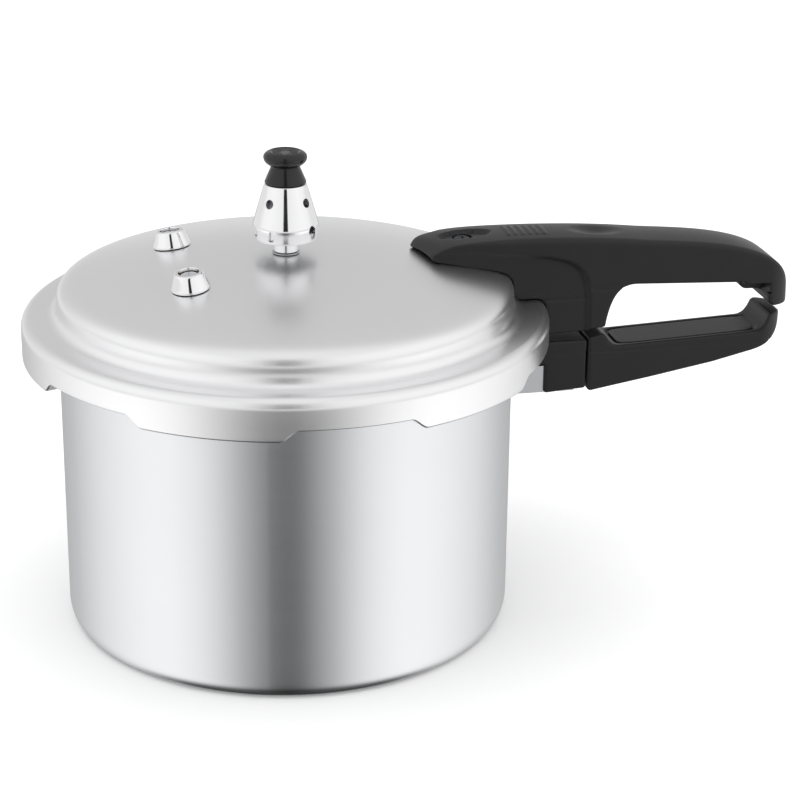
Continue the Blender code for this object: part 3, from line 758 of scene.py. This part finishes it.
def lid_sheet():
    """The lid's outer face from the vent hole to just above the skirt's lip.

    A parabola, a cubic shoulder, an upright wall, a hollow cubic foot and the skirt's round corner.
    """
    radius = np.linspace(VENT_HOLE_R, CROWN_R, 26)
    crown = np.stack([radius, crown_height(radius)], axis=1)
    slope = crown_slope(CROWN_R)
    bend = (CROWN_R + 9.5, crown[-1, 1] + 9.5 * slope)
    shoulder = bezier(crown[-1], bend, (DOME_WALL[0], 173.0), DOME_WALL, 24)
    fillet = bezier(DOME_WALL, (DOME_WALL[0], 162.0), (113.8, 158.9), DOME_FOOT, 14)
    corner = arc((SKIRT_R - SKIRT_CORNER - 0.2, BRIM_Z - SKIRT_CORNER), SKIRT_CORNER, 84, 0, 12)
    return joined(crown, shoulder, fillet, corner, (SKIRT_R - 0.2, 147.0))


class CANNER_OT_pot(bpy.types.Operator):
    """Build the spun pot: wall, rounded foot, rim bead and six bayonet lugs"""

    bl_idname = "canner.pot"
    bl_label = "Pot"

    def execute(self, context):
        inner = joined(
            (0.0, POT_FLOOR),
            (50.0, POT_FLOOR),
            arc((POT_INNER_R - 6, POT_FLOOR + 6), 6, -90, 0, 12),
            (POT_INNER_R, RIM_Z - 5.0),
        )
        bead = soften(
            [(POT_INNER_R, 142.0), (POT_INNER_R, 144.7), (109.8, RIM_Z), (113.1, RIM_Z)]
            + [(113.5, 144.8), (113.5, 143.4), (113.5, 141.4), (POT_R, 140.2), (POT_R, 139.4)],
            0.5,
        )
        lug = soften(
            [(POT_INNER_R, 142.0), (POT_INNER_R, 144.7), (109.8, RIM_Z), (113.1, RIM_Z)]
            + [(123.6, 145.0), (124.5, 144.2), (124.5, 142.8), (123.6, 142.0), (POT_R, 141.6)],
            0.5,
        )
        foot = bezier((POT_R, 9.8), (POT_R, 4.0), (109.4, 0.0), (105.0, 0.0), 16)
        outer = joined((POT_R, 139.0), (POT_R, 100.0), (POT_R, 60.0), (POT_R, 20.0), (POT_R, 9.8), foot)
        after = joined(outer, (60.0, 0.0), (0.0, 0.0))
        mesh = lugged("canner_pot", inner, lug, bead, after, POT_LUG_HALF, POT_LUG_FLANK)
        add_piece("canner_pot", mesh, spun_aluminium(), "pot", "satin_aluminium", "pot_body")
        return {"FINISHED"}


class CANNER_OT_lid(bpy.types.Operator):
    """Build the satin lid: domed crown, brim, skirt and six bayonet lugs, with its holes"""

    bl_idname = "canner.lid"
    bl_label = "Lid"

    def execute(self, context):
        outer = lid_sheet()
        inner = (outer + normals(outer) * LID_WALL)[::-1]
        r_out, r_in = SKIRT_R - 0.2, SKIRT_R - 0.2 - LID_WALL
        lug = soften(
            [(r_out, 141.6), (r_out, 139.4), (r_out - 1.0, 138.4), (114.5, 138.4)]
            + [(114.5, 141.6), (r_in, 141.6)],
            0.5,
        )
        gap = soften(
            [(r_out, 145.2), (r_out, 144.6), (r_out - 0.6, 144.0), (r_in + 0.6, 144.0)]
            + [(r_in, 144.4), (r_in, 145.2)],
            0.5,
        )
        mesh = lugged("canner_lid", outer, lug, gap, inner, LID_LUG_HALF, LID_LUG_FLANK)
        holes = [rod_mesh("stud_hole", 3.3, 160.0, 200.0)]
        holes[0].transform(Matrix.Translation((FRONT_SCREW_X * MM, 0, 0)))
        for _, azimuth in SAFETY_AZIMUTHS:
            holes.append(moved_mesh(rod_mesh("valve_hole", 5.1, -10.0, 10.0), safety_place(azimuth)))
        mesh = cut_away(mesh, *holes)
        add_piece("canner_lid", mesh, satin_aluminium(), "lid", "satin_aluminium", "lid_shell")
        return {"FINISHED"}


class CANNER_OT_sealing_ring(bpy.types.Operator):
    """Build the lip seal that lies in the brim's channel"""

    bl_idname = "canner.sealing_ring"
    bl_label = "Sealing ring"

    def execute(self, context):
        outer, inner, wall, low, high = 126.9, 110.8, 2.8, 145.6, 155.8
        profile = [(inner + 0.8, high), (outer - 1.2, high), (outer, high - 1.2), (outer, low + 1.0)]
        profile += [(outer - 1.0, low), (inner, low), (inner, low + 1.4), (outer - wall, low + 2.6)]
        profile += [(outer - wall, high - 2.6), (inner, high - 1.2)]
        mesh = rounded_turn("seal_ring", profile, 180, 0.6)
        add_piece("seal_ring", mesh, silicone_rubber(), "ring", "silicone_rubber", "sealing_ring")
        return {"FINISHED"}


class CANNER_OT_vent(bpy.types.Operator):
    """Build the vent pipe and the washer under its flange"""

    bl_idname = "canner.vent"
    bl_label = "Vent pipe"

    def execute(self, context):
        columns = context.scene.canner_shape.turn_columns
        pipe = [(1.5, 203.0), (2.6, 203.0), (4.2, 200.8), (4.2, 197.5), (5.4, 197.3), (6.1, 196.7)]
        pipe += [(6.1, 188.0), (4.5, 188.0), (4.5, 174.0), (1.5, 174.0)]
        mesh = rounded_turn("vent_spindle", pipe, columns, 0.35)
        add_piece("vent_spindle", mesh, bright_chrome(), "lid", "chrome", "vent_pipe")
        washer = [(4.8, 187.7), (6.7, 187.7), (6.7, 187.1), (4.8, 187.1)]
        mesh = rounded_turn("vent_seal", washer, columns, 0.2)
        add_piece("vent_seal", mesh, zinc_steel(), "lid", "zinc_steel", "vent_washer")
        return {"FINISHED"}


def safety_place(azimuth):
    """Placement on the crown, with local +Z along the lid's outward normal."""
    tilt = np.arctan(-crown_slope(SAFETY_R))
    return (
        Matrix.Rotation(np.radians(azimuth), 4, "Z")
        @ Matrix.Translation((SAFETY_R * MM, 0, crown_height(SAFETY_R) * MM))
        @ Matrix.Rotation(tilt, 4, "Y")
    )


class CANNER_OT_safety_valves(bpy.types.Operator):
    """Build the two chromed safety valve caps and their fusible discs"""

    bl_idname = "canner.safety_valves"
    bl_label = "Safety valves"

    def execute(self, context):
        columns = context.scene.canner_shape.turn_columns
        cap = [(4.9, 8.0), (5.1, 8.5), (6.2, 8.5), (7.0, 7.9), (9.2, 1.9), (9.5, 1.2), (9.5, 0.3)]
        cap += [(5.1, 0.3), (5.1, 6.9), (4.9, 7.1)]
        disc = [(0.0, 6.7), (3.2, 6.8), (4.0, 6.9), (4.5, 6.5), (4.5, 5.8), (0.0, 5.8)]
        for key, azimuth in SAFETY_AZIMUTHS:
            place = safety_place(azimuth)
            mesh = moved_mesh(rounded_turn(f"valve_cap_{key}", cap, columns, 0.4), place)
            add_piece(f"valve_cap_{key}", mesh, bright_chrome(), "lid", "chrome", f"safety_cap_{key}")
            mesh = rounded_turn(f"valve_disc_{key}", disc, columns, 0.25, closed=False, step=1.0)
            mesh = moved_mesh(mesh, place)
            add_piece(
                f"valve_disc_{key}", mesh, zinc_steel(), "lid", "zinc_steel", f"fusible_disc_{key}"
            )
        return {"FINISHED"}


def top_line():
    """The handle's top line in side view, from its nose to its tip: straight facets, then two curves."""
    return joined(
        (66.6, 184.0),
        (68.6, 187.4),
        (71.6, 189.0),
        (76.0, 190.0),
        (80.0, 190.9),
        bezier((80, 190.9), (100, 193.2), (145, 192.4), (182, 187.9), 24),
        bezier((182, 187.9), (219, 184.6), (260, 183.4), (260, 151), 30),
    )


def upper_outline():
    """Side outline of the lid's handle: nose, arched top, hooked tip, finger loop and block foot."""
    hook = [(259.6, 149.6), (258.0, 148.7), (250.0, 148.6), (247.8, 150.0), (246.8, 154.2)]
    hook += [(244.6, 155.4), (237.0, 155.6), (234.6, 157.4), (234.0, 162.2)]
    loop = joined(
        (176.0, 164.6),
        bezier((176, 164.6), (166.5, 164.6), (163, 157.5), (160.6, 143.8), 14),
        (160.0, 143.0),
        (152.4, 142.2),
        (151.4, 140.9),
        (131.6, 140.4),
    )
    sheet = lid_sheet()
    sheet = sheet[(sheet[:, 0] > 70) & (sheet[:, 1] > 141)]
    under = sheet - normals(sheet) * LID_CLEARANCE
    return joined(top_line(), hook, loop, (130.6, 141.2), under[::-1][1:], (68.4, 182.6))


def arch_line(x):
    """Height of the arch under which the block's sides step back, as a function of x."""
    xs = [60.0, 70.0, 92.0, 112.0, 131.0, 139.0, 144.0, 147.5, 150.0, 151.2]
    zs = [187.2, 186.9, 186.2, 184.6, 182.2, 180.0, 177.2, 173.6, 168.0, 160.0]
    return np.interp(x, xs, zs)


def block_mask(x, z):
    """1 on the block and 0 on the rail and grip, from the signed distance to the arch line."""
    along = np.linspace(60.0, 151.2, 90)
    line = joined(np.stack([along, arch_line(along)], axis=1), (151.4, 150.0), (151.6, 138.0))
    line = spaced(line, 0.7)
    points = np.stack([x, z], axis=1)
    near = np.sqrt(((points[:, None] - line[None]) ** 2).sum(axis=2).min(axis=1))
    under = (x < 151.4) & (z < np.where(x < 151.2, arch_line(x), 400.0))
    signed = np.where(under, near, -near)
    return smoothstep(-0.9, 1.5, signed), signed


def oval(x, y, middle, length, width):
    """Distance from an oval's middle as a share of its half-length and half-width."""
    return np.hypot((x - middle) / length, y / width)


def upper_relief(points, crown, thumb_depth):
    """Moves the upper handle's points off the plain slab.

    Height: minus the crown times (y / half)^2, plus the ribs, minus the screw's oval recess and
    the oval thumb dish, each faded by a smooth step.  Width: minus the block's recess and the
    parting lines near each flank, and scaled to the plan's tip.  Length: the nose is slanted, and
    the part by the lid follows a circle, x' = sqrt(x^2 - y^2).
    """
    x, y, z = points[:, 0].copy(), points[:, 1].copy(), points[:, 2].copy()
    share = y / UPPER_HALF
    top = smoothstep(168, 184, z)
    upper = top * smoothstep(-8.0, -2.0, z - rail_top(x))
    z = z - crown * share**2 * top
    recess = 1.8 * (1 - smoothstep(0.88, 1.04, oval(x, y, 89.5, 13.5, 6.8)))
    dish = thumb_depth * (1 - smoothstep(0.0, 1.0, oval(x, y, 157.0, 16.5, 9.0)))
    across = 1 - smoothstep(7.4, 8.4, np.abs(y))
    window = smoothstep(109.6, 110.4, x) * (1 - smoothstep(131.6, 132.4, x)) * across
    ribs = 0.45 * smoothstep(-0.35, 0.35, np.sin(2 * np.pi * (x - 110.0) / 3.67)) * window
    z = z + (ribs - recess - dish) * upper
    mask, signed = block_mask(x, points[:, 2])
    seam = groove(points[:, 2] - BLOCK_SEAM, SEAM_WIDTH, 0.5) * (signed > 1.5)
    seam = seam + groove(points[:, 2] - GRIP_SEAM, SEAM_WIDTH, 0.5) * (signed < -1.5) * (x < 175)
    flank = smoothstep(UPPER_HALF - 3.2, UPPER_HALF - 1.4, np.abs(y))
    y = y - np.sign(y) * (BLOCK_RECESS * mask + seam) * flank
    y = y * tip_plan(x, UPPER_TIP, UPPER_HALF) / UPPER_HALF
    nub = smoothstep(231.0, 233.5, x) * (1 - smoothstep(246.2, 247.6, x))
    y = y * (1 - 0.65 * nub * (1 - smoothstep(159.5, 161.5, points[:, 2])))
    near = np.clip((11.0 - y) / 26.0, 0, 1) ** 1.4
    far = np.clip((y - 11.0) / 4.0, 0, 1) ** 2
    x = x + (6.5 * near + 4.5 * far - 1.1) * (1 - smoothstep(68.0, 92.0, x))
    follow = 1 - smoothstep(138.0, 150.0, x)
    x = x - follow * (x - np.sqrt(np.maximum(x**2 - y**2, 0)))
    return np.stack([x, y, z], axis=1)


def rail_top(x):
    """Height of the upper handle's top line at x, read off its points by straight lines."""
    top = top_line()
    return np.interp(x, top[:, 0], top[:, 1])


class CANNER_OT_upper_handle(bpy.types.Operator):
    """Build the lid's moulded handle with its hooked tip, thumb dish and screw recess"""

    bl_idname = "canner.upper_handle"
    bl_label = "Upper handle"

    def execute(self, context):
        shape = context.scene.canner_shape
        edge, crown, thumb = (v / MM for v in (shape.handle_edge, shape.handle_crown, shape.thumb_depth))
        outline = spaced(soften(upper_outline(), 1.6, 5, closed=True), 1.0, closed=True)
        rail = rail_top(np.minimum(outline[:, 0], UPPER_TIP - 0.1))
        on_top = (outline[:, 1] > rail - 3.0) | (outline[:, 0] > UPPER_TIP - 5)
        on_nose = smoothstep(84.0, 112.0, outline[:, 0])
        edge = 0.8 + (edge - 0.8) * on_nose
        edges = smooth_round(np.where(on_top, edge, 1.2), 9)

        def relief(points):
            return upper_relief(points, crown, thumb)

        mesh = slab("lid_handle", outline, UPPER_HALF, edges, 30, 1.1, (BLOCK_SEAM, GRIP_SEAM), relief)
        bore = rod_mesh("screw_bore", 5.0, 187.6, 200.0, 48)
        bore.transform(Matrix.Translation((FRONT_SCREW_X * MM, 0, 0)))
        shank = rod_mesh("screw_shank_bore", 2.2, 170.0, 189.0, 32)
        shank.transform(Matrix.Translation((FRONT_SCREW_X * MM, 0, 0)))
        post = rod_mesh("stud_bore", 4.3, 165.0, 185.9, 32)
        post.transform(Matrix.Translation((FRONT_SCREW_X * MM, 0, 0)))
        mesh = cut_away(mesh, bore, shank, post)
        add_piece("lid_handle", mesh, moulded_bakelite(), "lid", "black_bakelite", "upper_handle")
        screw = [(0.0, 190.0), (2.8, 189.9), (4.2, 189.3), (4.6, 188.5), (4.6, 187.7), (1.6, 187.7)]
        screw += [(1.6, 180.0), (0.0, 180.0)]
        mesh = rounded_turn("front_screw", screw, 96, 0.2, closed=False, step=0.3, relief=screw_relief)
        mesh.transform(Matrix.Translation((FRONT_SCREW_X * MM, 0, 0)))
        add_piece("front_screw", mesh, blackened_steel(), "lid", "zinc_steel", "handle_front_screw")
        return {"FINISHED"}


def screw_relief(grid):
    """A cross recess, 1.1 mm deep, where the smaller of |x| and |y| is under 0.5 mm."""
    x, y = grid[..., 0], grid[..., 1]
    cross = 1 - smoothstep(0.35, 0.7, np.minimum(np.abs(x), np.abs(y)))
    grid[..., 2] -= 1.1 * cross * (1 - smoothstep(2.0, 2.5, np.hypot(x, y))) * (grid[..., 2] > 189.0)
    return grid


def smooth_round(values, width):
    """Running mean of a closed row of values."""
    kernel = np.ones(width) / width
    wrapped = np.concatenate([values[-width:], values, values[:width]])
    return np.convolve(wrapped, kernel, "same")[width:-width]


def lower_outline():
    """Side outline of the pot's grip, with its upturned tip."""
    top = joined(
        (152.0, 137.4),
        (158.6, 139.2),
        bezier((158.6, 139.2), (162.5, 140.0), (161.5, 132.3), (169.5, 132.4), 14),
        (240.0, 135.4),
        bezier((240.0, 135.4), (244.5, 135.6), (246.3, 138.5), (248.0, 143.2), 12),
        (249.4, 144.3),
        (254.8, 144.6),
        (256.4, 143.2),
        (256.4, 140.0),
    )
    under = joined(
        bezier((256.4, 140.0), (254.6, 133.0), (249.5, 127.8), (240.5, 125.3), 16),
        (219.0, 120.2),
        (186.0, 114.2),
        (153.6, 108.8),
        (152.0, 110.3),
    )
    return joined(top, under)


def grip_top(x):
    """Height of the lower grip's top line."""
    return np.interp(x, [160, 169.5, 240.0, 246.0, 248.5], [137.0, 132.4, 135.4, 138.3, 143.4])


def panel_mesh(name):
    """A plate whose plan is |x/a|^8 + |y/b|^8 = s^8, laid along the grip's top line.

    A row is a pair of s and the height over that line, and a column is an angle t:
    x = a s |cos t|^(1/4) and y = b s |sin t|^(1/4), each with its sign.
    """
    rows = [(0.0, -1.1), (0.5, -1.1), (0.97, -1.1), (1.0, -0.8), (1.0, -0.4), (0.995, -0.22)]
    rows += [(0.98, -0.15), (0.9, -0.15), (0.7, -0.15), (0.5, -0.15), (0.25, -0.15), (0.0, -0.15)]
    share, height = np.array(rows).T[:, :, None]
    t = np.linspace(0, 2 * np.pi, 161)[None, :]
    x = PANEL_X + PANEL_HALF[0] * share * np.sign(np.cos(t)) * np.abs(np.cos(t)) ** 0.25
    y = PANEL_HALF[1] * share * np.sign(np.sin(t)) * np.abs(np.sin(t)) ** 0.25
    grid = np.stack([x, y, grip_top(x) + height], axis=-1)
    mesh = grid_mesh(name, grid, grid[..., :2] * MM)
    finish_mesh(mesh)
    return mesh


def lower_relief(points):
    """Moves the grip's points off the plain slab.

    The panel's bed is sunk where |x/a|^8 + |y/b|^8 is under 1, the flanks take the parting line, and
    the width is scaled to the plan's tip.
    """
    x, y, z = points.T.copy()
    on_top = smoothstep(-1.5, -0.3, z - grip_top(x))
    seam = groove(z - LOWER_SEAM, SEAM_WIDTH, 0.42) * (x < 250)
    flank = smoothstep(UPPER_HALF - 3.2, UPPER_HALF - 1.4, np.abs(y))
    reach = (np.abs(x - PANEL_X) / (PANEL_HALF[0] + 0.8)) ** 8 + (np.abs(y) / (PANEL_HALF[1] + 0.8)) ** 8
    z = z - 1.2 * (1 - smoothstep(0.9, 1.5, reach)) * on_top
    y = y - np.sign(y) * seam * flank
    y = y * tip_plan(x, LOWER_TIP, UPPER_HALF) / UPPER_HALF
    return np.stack([x, y, z], axis=1)


class CANNER_OT_lower_handle(bpy.types.Operator):
    """Build the pot's handle: collar, grip with its upturned tip, and the inlaid strip"""

    bl_idname = "canner.lower_handle"
    bl_label = "Lower handle"

    def execute(self, context):
        outline = spaced(soften(lower_outline(), 1.5, 5, closed=True), 1.0, closed=True)
        mesh = slab("pot_grip", outline, UPPER_HALF, 1.4, 44, 1.1, (LOWER_SEAM,), lower_relief)
        bore = rod_mesh("grip_screw_bore", 4.9, 100.0, 114.8, 40)
        bore.transform(Matrix.Translation((166.0 * MM, 0, 0)))
        mesh = cut_away(mesh, bore)
        add_piece("pot_grip", mesh, moulded_bakelite(), "pot", "black_bakelite", "lower_handle_grip")
        mesh = panel_mesh("grip_panel")
        add_piece("grip_panel", mesh, moulded_bakelite(), "pot", "black_bakelite", "lower_handle_inlay")
        collar = [(112.4, 136.3), (151.4, 136.3), (151.4, 110.5), (130.5, 109.0), (129.3, 110.2)]
        collar += [(129.3, 124.3), (112.4, 124.3)]
        outline = spaced(soften(collar, 1.4, 5, closed=True), 1.0, closed=True)

        def relief(points):
            x, y, z = points.T.copy()
            seam = groove(z - LOWER_SEAM, SEAM_WIDTH, 0.25)
            y = y - np.sign(y) * seam * smoothstep(11.0, 12.8, np.abs(y))
            follow = 1 - smoothstep(118.0, 128.0, x)
            x = x - follow * (x - np.sqrt(np.maximum(x**2 - y**2, 0)))
            return np.stack([x, y, z], axis=1)

        mesh = slab("pot_collar", outline, UPPER_HALF - 0.8, 1.2, 24, 1.2, (LOWER_SEAM,), relief)
        add_piece(
            "pot_collar", mesh, moulded_bakelite(), "pot", "black_bakelite", "lower_handle_collar"
        )
        return {"FINISHED"}


class CANNER_OT_weight(bpy.types.Operator):
    """Build the weight: pierced chrome shroud and moulded knob"""

    bl_idname = "canner.weight"
    bl_label = "Weight"

    def execute(self, context):
        columns = context.scene.canner_shape.turn_columns
        profile = [(2.3, 222.0), (10.0, 222.0), (10.5, 221.4), (15.7, 203.5), (16.2, 201.8)]
        profile += [(16.2, 195.8), (15.7, 194.8), (15.4, 194.8), (15.4, 201.8), (9.5, 221.2)]
        profile += [(2.3, 221.2)]
        mesh = rounded_turn("weight_cover", profile, columns, 0.7, step=3.0)
        cutters = []
        for turn in range(4):
            spin = Matrix.Rotation(np.radians(STEAM_HOLE_AZIMUTH + 90 * turn), 4, "Z")
            lie = Matrix.Rotation(np.pi / 2, 4, "Y")
            lower = [(2.3, 200.2, 1.24)] if turn % 2 == 0 else []
            for radius, height, tall in [(2.2, 213.9, 1.0), *lower]:
                rod = rod_mesh("steam_hole", radius, 9.0, 20.0)
                stretch = Matrix.Diagonal((1.0, tall, 1.0, 1.0)).to_4x4()
                upright = Matrix.Rotation(np.pi / 2, 4, "Z")
                place = Matrix.Translation((0, 0, height * MM))
                cutters.append(moved_mesh(rod, spin @ place @ lie @ upright @ stretch))
        mesh = cut_away(mesh, *cutters)
        add_piece("weight_cover", mesh, bright_chrome(), "weight", "chrome", "weight_shroud")
        knob = [(0.0, 237.3), (2.0, 237.3), (4.0, 237.3), (6.0, 237.3), (7.4, 238.0), (9.4, 237.2)]
        knob += [(10.4, 236.2), (10.7, 235.1), (10.4, 233.6), (9.5, 232.3), (8.2, 231.3), (7.1, 230.7)]
        knob += [(7.1, 230.1), (10.2, 222.9), (10.0, 222.3), (2.3, 222.3), (2.3, 234.0), (0.0, 234.0)]
        mesh = rounded_turn("weight_grip", knob, columns, 0.5, False, 0.8, knob_relief)
        add_piece("weight_grip", mesh, polished_bakelite(), "weight", "black_bakelite", "weight_knob")
        return {"FINISHED"}


def knob_relief(grid):
    """Sixteen short raised bars in a ring on the knob's dished top."""
    radius = np.hypot(grid[..., 0], grid[..., 1])
    angle = np.arctan2(grid[..., 1], grid[..., 0])
    ring = smoothstep(2.6, 3.4, radius) * (1 - smoothstep(5.6, 6.4, radius))
    bars = smoothstep(-0.3, 0.5, np.cos(16 * angle))
    grid[..., 2] += 0.4 * ring * bars * (grid[..., 2] > 236.5)
    return grid


class CANNER_OT_hardware(bpy.types.Operator):
    """Dress the kept frame nodes: bracket, screws, rivets, nut, plugs, core and clip"""

    bl_idname = "canner.hardware"
    bl_label = "Hardware"

    def execute(self, context):
        dress_nodes(
            zinc_steel(),
            "handle_bracket",
            "lower_handle_screw",
            "vent_nut",
            "anti_block_cap",
            "handle_rear_screw",
            "weight_core",
            "knob_stud",
            "weight_clip",
        )
        dress_nodes(satin_aluminium(), "bracket_rivet_left", "bracket_rivet_right", "lid_stud")
        dress_nodes(turned_brass(), "safety_plug_a", "safety_plug_b")
        dress_nodes(silicone_rubber(), "safety_gasket_a", "safety_gasket_b", "rear_screw_washer")
        return {"FINISHED"}


# Studio.

CAMERA_TURN = np.radians(12.5)
CAMERA_RISE = np.radians(21.1)
CAMERA_DISTANCE = 1.1325
CAMERA_TARGET = Vector((0.05526, -0.01225, 0.110))
CAMERA_ROLL = 0.0113

# Brightness of the surround by angle from the camera's side, below and above the horizon.
LOW_SURROUND = (
    (0, 0.10), (8, 0.15), (13, 0.30), (20, 0.46), (26, 0.60), (32, 0.78), (39, 0.95), (46, 1.08),
    (60, 1.22), (75, 1.22), (92, 1.12), (112, 0.95), (124, 0.80), (140, 0.62), (180, 0.42),
)
HIGH_SURROUND = (
    (0, 0.02), (7, 0.03), (9.5, 0.95), (60, 1.05), (100, 1.0), (125, 0.82), (150, 0.66), (180, 0.60),
)


def surround_world(strength):
    """A studio of soft boxes: brightness by direction round the object and by height.

    The angle from the camera's side is arccos of the flat direction along the camera's heading.
    """
    world = bpy.data.worlds.new("soft_box_surround")
    world.use_nodes = True
    tree = world.node_tree
    tree.nodes.clear()
    direction = add_node(tree, "ShaderNodeTexCoord").outputs["Generated"]
    flat = add_node(
        tree, "ShaderNodeVectorMath", {"operation": "MULTIPLY"}, {0: direction, 1: (1.0, 1.0, 0.0)}
    )
    unit = add_node(tree, "ShaderNodeVectorMath", {"operation": "NORMALIZE"}, {0: flat.outputs[0]})
    heading = -np.pi / 2 - CAMERA_TURN + np.radians(2.6)
    along = add_node(
        tree,
        "ShaderNodeVectorMath",
        {"operation": "DOT_PRODUCT"},
        {0: unit.outputs[0], 1: (float(np.cos(heading)), float(np.sin(heading)), 0.0)},
    )
    angle = add_node(tree, "ShaderNodeMath", {"operation": "ARCCOSINE"}, {0: along.outputs["Value"]})
    turn = add_node(
        tree, "ShaderNodeMath", {"operation": "DIVIDE"}, {0: angle.outputs[0], 1: float(np.pi)}
    ).outputs[0]
    sides = []
    for stops in (LOW_SURROUND, HIGH_SURROUND):
        ramp = add_node(tree, "ShaderNodeValToRGB", {}, {"Fac": turn})
        elements = ramp.color_ramp.elements
        while len(elements) < len(stops):
            elements.new(1.0)
        for element, (degrees, grey) in zip(elements, stops):
            element.position = degrees / 180
            element.color = (grey, grey, grey, 1.0)
        sides.append(ramp.outputs["Color"])
    rise = add_node(tree, "ShaderNodeSeparateXYZ", {}, {"Vector": direction}).outputs["Z"]
    bands = []
    for low, high, least in (
        (-0.22, -0.12, 0.0),
        (0.03, 0.12, 0.0),
        (0.75, 0.95, 0.0),
        (-0.90, -0.75, 0.06),
    ):
        limits = {"Value": rise, "From Min": low, "From Max": high, "To Min": least}
        bands.append(add_node(tree, "ShaderNodeMapRange", {}, limits).outputs["Result"])
    beside, above, overhead, floor = bands
    mix = {"data_type": "RGBA"}
    band = (0.85, 0.85, 0.85, 1.0)
    lower = add_node(tree, "ShaderNodeMix", mix, {0: beside, 6: sides[0], 7: band}).outputs[2]
    walls = add_node(tree, "ShaderNodeMix", mix, {0: above, 6: lower, 7: sides[1]}).outputs[2]
    ceiling = add_node(
        tree, "ShaderNodeMix", mix, {0: overhead, 6: walls, 7: (0.88, 0.88, 0.88, 1.0)}
    ).outputs[2]
    lit = add_node(
        tree, "ShaderNodeVectorMath", {"operation": "SCALE"}, {0: ceiling, "Scale": floor}
    ).outputs[0]
    seen = add_node(tree, "ShaderNodeLightPath").outputs["Is Camera Ray"]
    shown = add_node(tree, "ShaderNodeMix", mix, {0: seen, 6: lit, 7: (1.0, 1.0, 1.0, 1.0)}).outputs[2]
    background = add_node(
        tree, "ShaderNodeBackground", {}, {"Color": shown, "Strength": strength}
    ).outputs[0]
    output = add_node(tree, "ShaderNodeOutputWorld")
    tree.links.new(background, output.inputs["Surface"])
    return world


class CANNER_OT_stage(bpy.types.Operator):
    """Set the studio: pale floor, soft surround, overhead lamp and camera"""

    bl_idname = "canner.stage"
    bl_label = "Stage"

    def execute(self, context):
        scene = context.scene
        studio = scene.canner_studio
        scene.world = surround_world(studio.surround)
        scene.view_settings.view_transform = "Standard"
        work = bmesh.new()
        bmesh.ops.create_grid(work, x_segments=8, y_segments=8, size=6.0)
        mesh = bpy.data.meshes.new("studio_floor")
        work.to_mesh(mesh)
        work.free()
        floor = bpy.data.objects.new("studio_floor", mesh)
        scene.collection.objects.link(floor)
        white = hex_colour("#F4F4F4")
        tones = (white, hex_colour("#F7F7F7"))
        paper = surface("matt_white_paper", tones, 0.3, (1.0, 1.0), 0.01, 0.0, level=0.0)
        mesh.materials.append(paper)
        floor.visible_glossy = False
        lamp = bpy.data.lights.new("overhead_lamp", "SUN")
        lamp.energy = studio.overhead
        lamp.angle = np.radians(100)
        overhead = bpy.data.objects.new("overhead_lamp", lamp)
        overhead.location = (0, 0, 2)
        overhead.visible_glossy = False
        scene.collection.objects.link(overhead)
        scene.camera = self.camera(studio.lens)
        scene.collection.objects.link(scene.camera)
        return {"FINISHED"}

    def camera(self, lens):
        """A level camera turned and raised about its target, with a slight roll."""
        back = Vector(
            (
                -np.sin(CAMERA_TURN) * np.cos(CAMERA_RISE),
                -np.cos(CAMERA_TURN) * np.cos(CAMERA_RISE),
                np.sin(CAMERA_RISE),
            )
        )
        level = Vector((np.cos(CAMERA_TURN), -np.sin(CAMERA_TURN), 0))
        rise = back.cross(level)
        right = level * np.cos(CAMERA_ROLL) + rise * np.sin(CAMERA_ROLL)
        up = rise * np.cos(CAMERA_ROLL) - level * np.sin(CAMERA_ROLL)
        data = bpy.data.cameras.new("front_side_camera")
        data.lens = lens
        data.sensor_width = 36.0
        data.clip_start = 0.05
        data.clip_end = 50.0
        camera = bpy.data.objects.new("front_side_camera", data)
        place = Matrix((right, up, back)).transposed().to_4x4()
        place.translation = CAMERA_TARGET + back * CAMERA_DISTANCE
        camera.matrix_world = place
        return camera


OPERATORS = (
    CANNER_OT_pot,
    CANNER_OT_lid,
    CANNER_OT_sealing_ring,
    CANNER_OT_vent,
    CANNER_OT_safety_valves,
    CANNER_OT_upper_handle,
    CANNER_OT_lower_handle,
    CANNER_OT_weight,
    CANNER_OT_hardware,
    CANNER_OT_stage,
)
GROUPS = (
    (CannerFinish, "canner_finish"),
    (CannerShape, "canner_shape"),
    (CannerStudio, "canner_studio"),
)


class CANNER_PT_panel(bpy.types.Panel):
    """Lists the canner's pieces and settings in the sidebar"""

    bl_idname = "CANNER_PT_panel"
    bl_label = "Pressure canner"
    bl_space_type = "VIEW_3D"
    bl_region_type = "UI"
    bl_category = "Canner"

    def draw(self, context):
        for group, name in GROUPS:
            for prop in group.__annotations__:
                self.layout.prop(getattr(context.scene, name), prop)
        for operator in OPERATORS:
            self.layout.operator(operator.bl_idname)


def register():
    for group, name in GROUPS:
        bpy.utils.register_class(group)
        setattr(bpy.types.Scene, name, PointerProperty(type=group))
    for item in (*OPERATORS, CANNER_PT_panel):
        bpy.utils.register_class(item)


def unregister():
    for item in reversed((*OPERATORS, CANNER_PT_panel)):
        bpy.utils.unregister_class(item)
    for group, name in reversed(GROUPS):
        delattr(bpy.types.Scene, name)
        bpy.utils.unregister_class(group)


def main():
    for obj in list(bpy.context.scene.objects):
        if obj.name in ("Cube", "Light", "Camera"):
            bpy.data.objects.remove(obj, do_unlink=True)
    register()
    for operator in OPERATORS:
        group, name = operator.bl_idname.split(".")
        getattr(getattr(bpy.ops, group), name)()


if __name__ == "__main__":
    main()
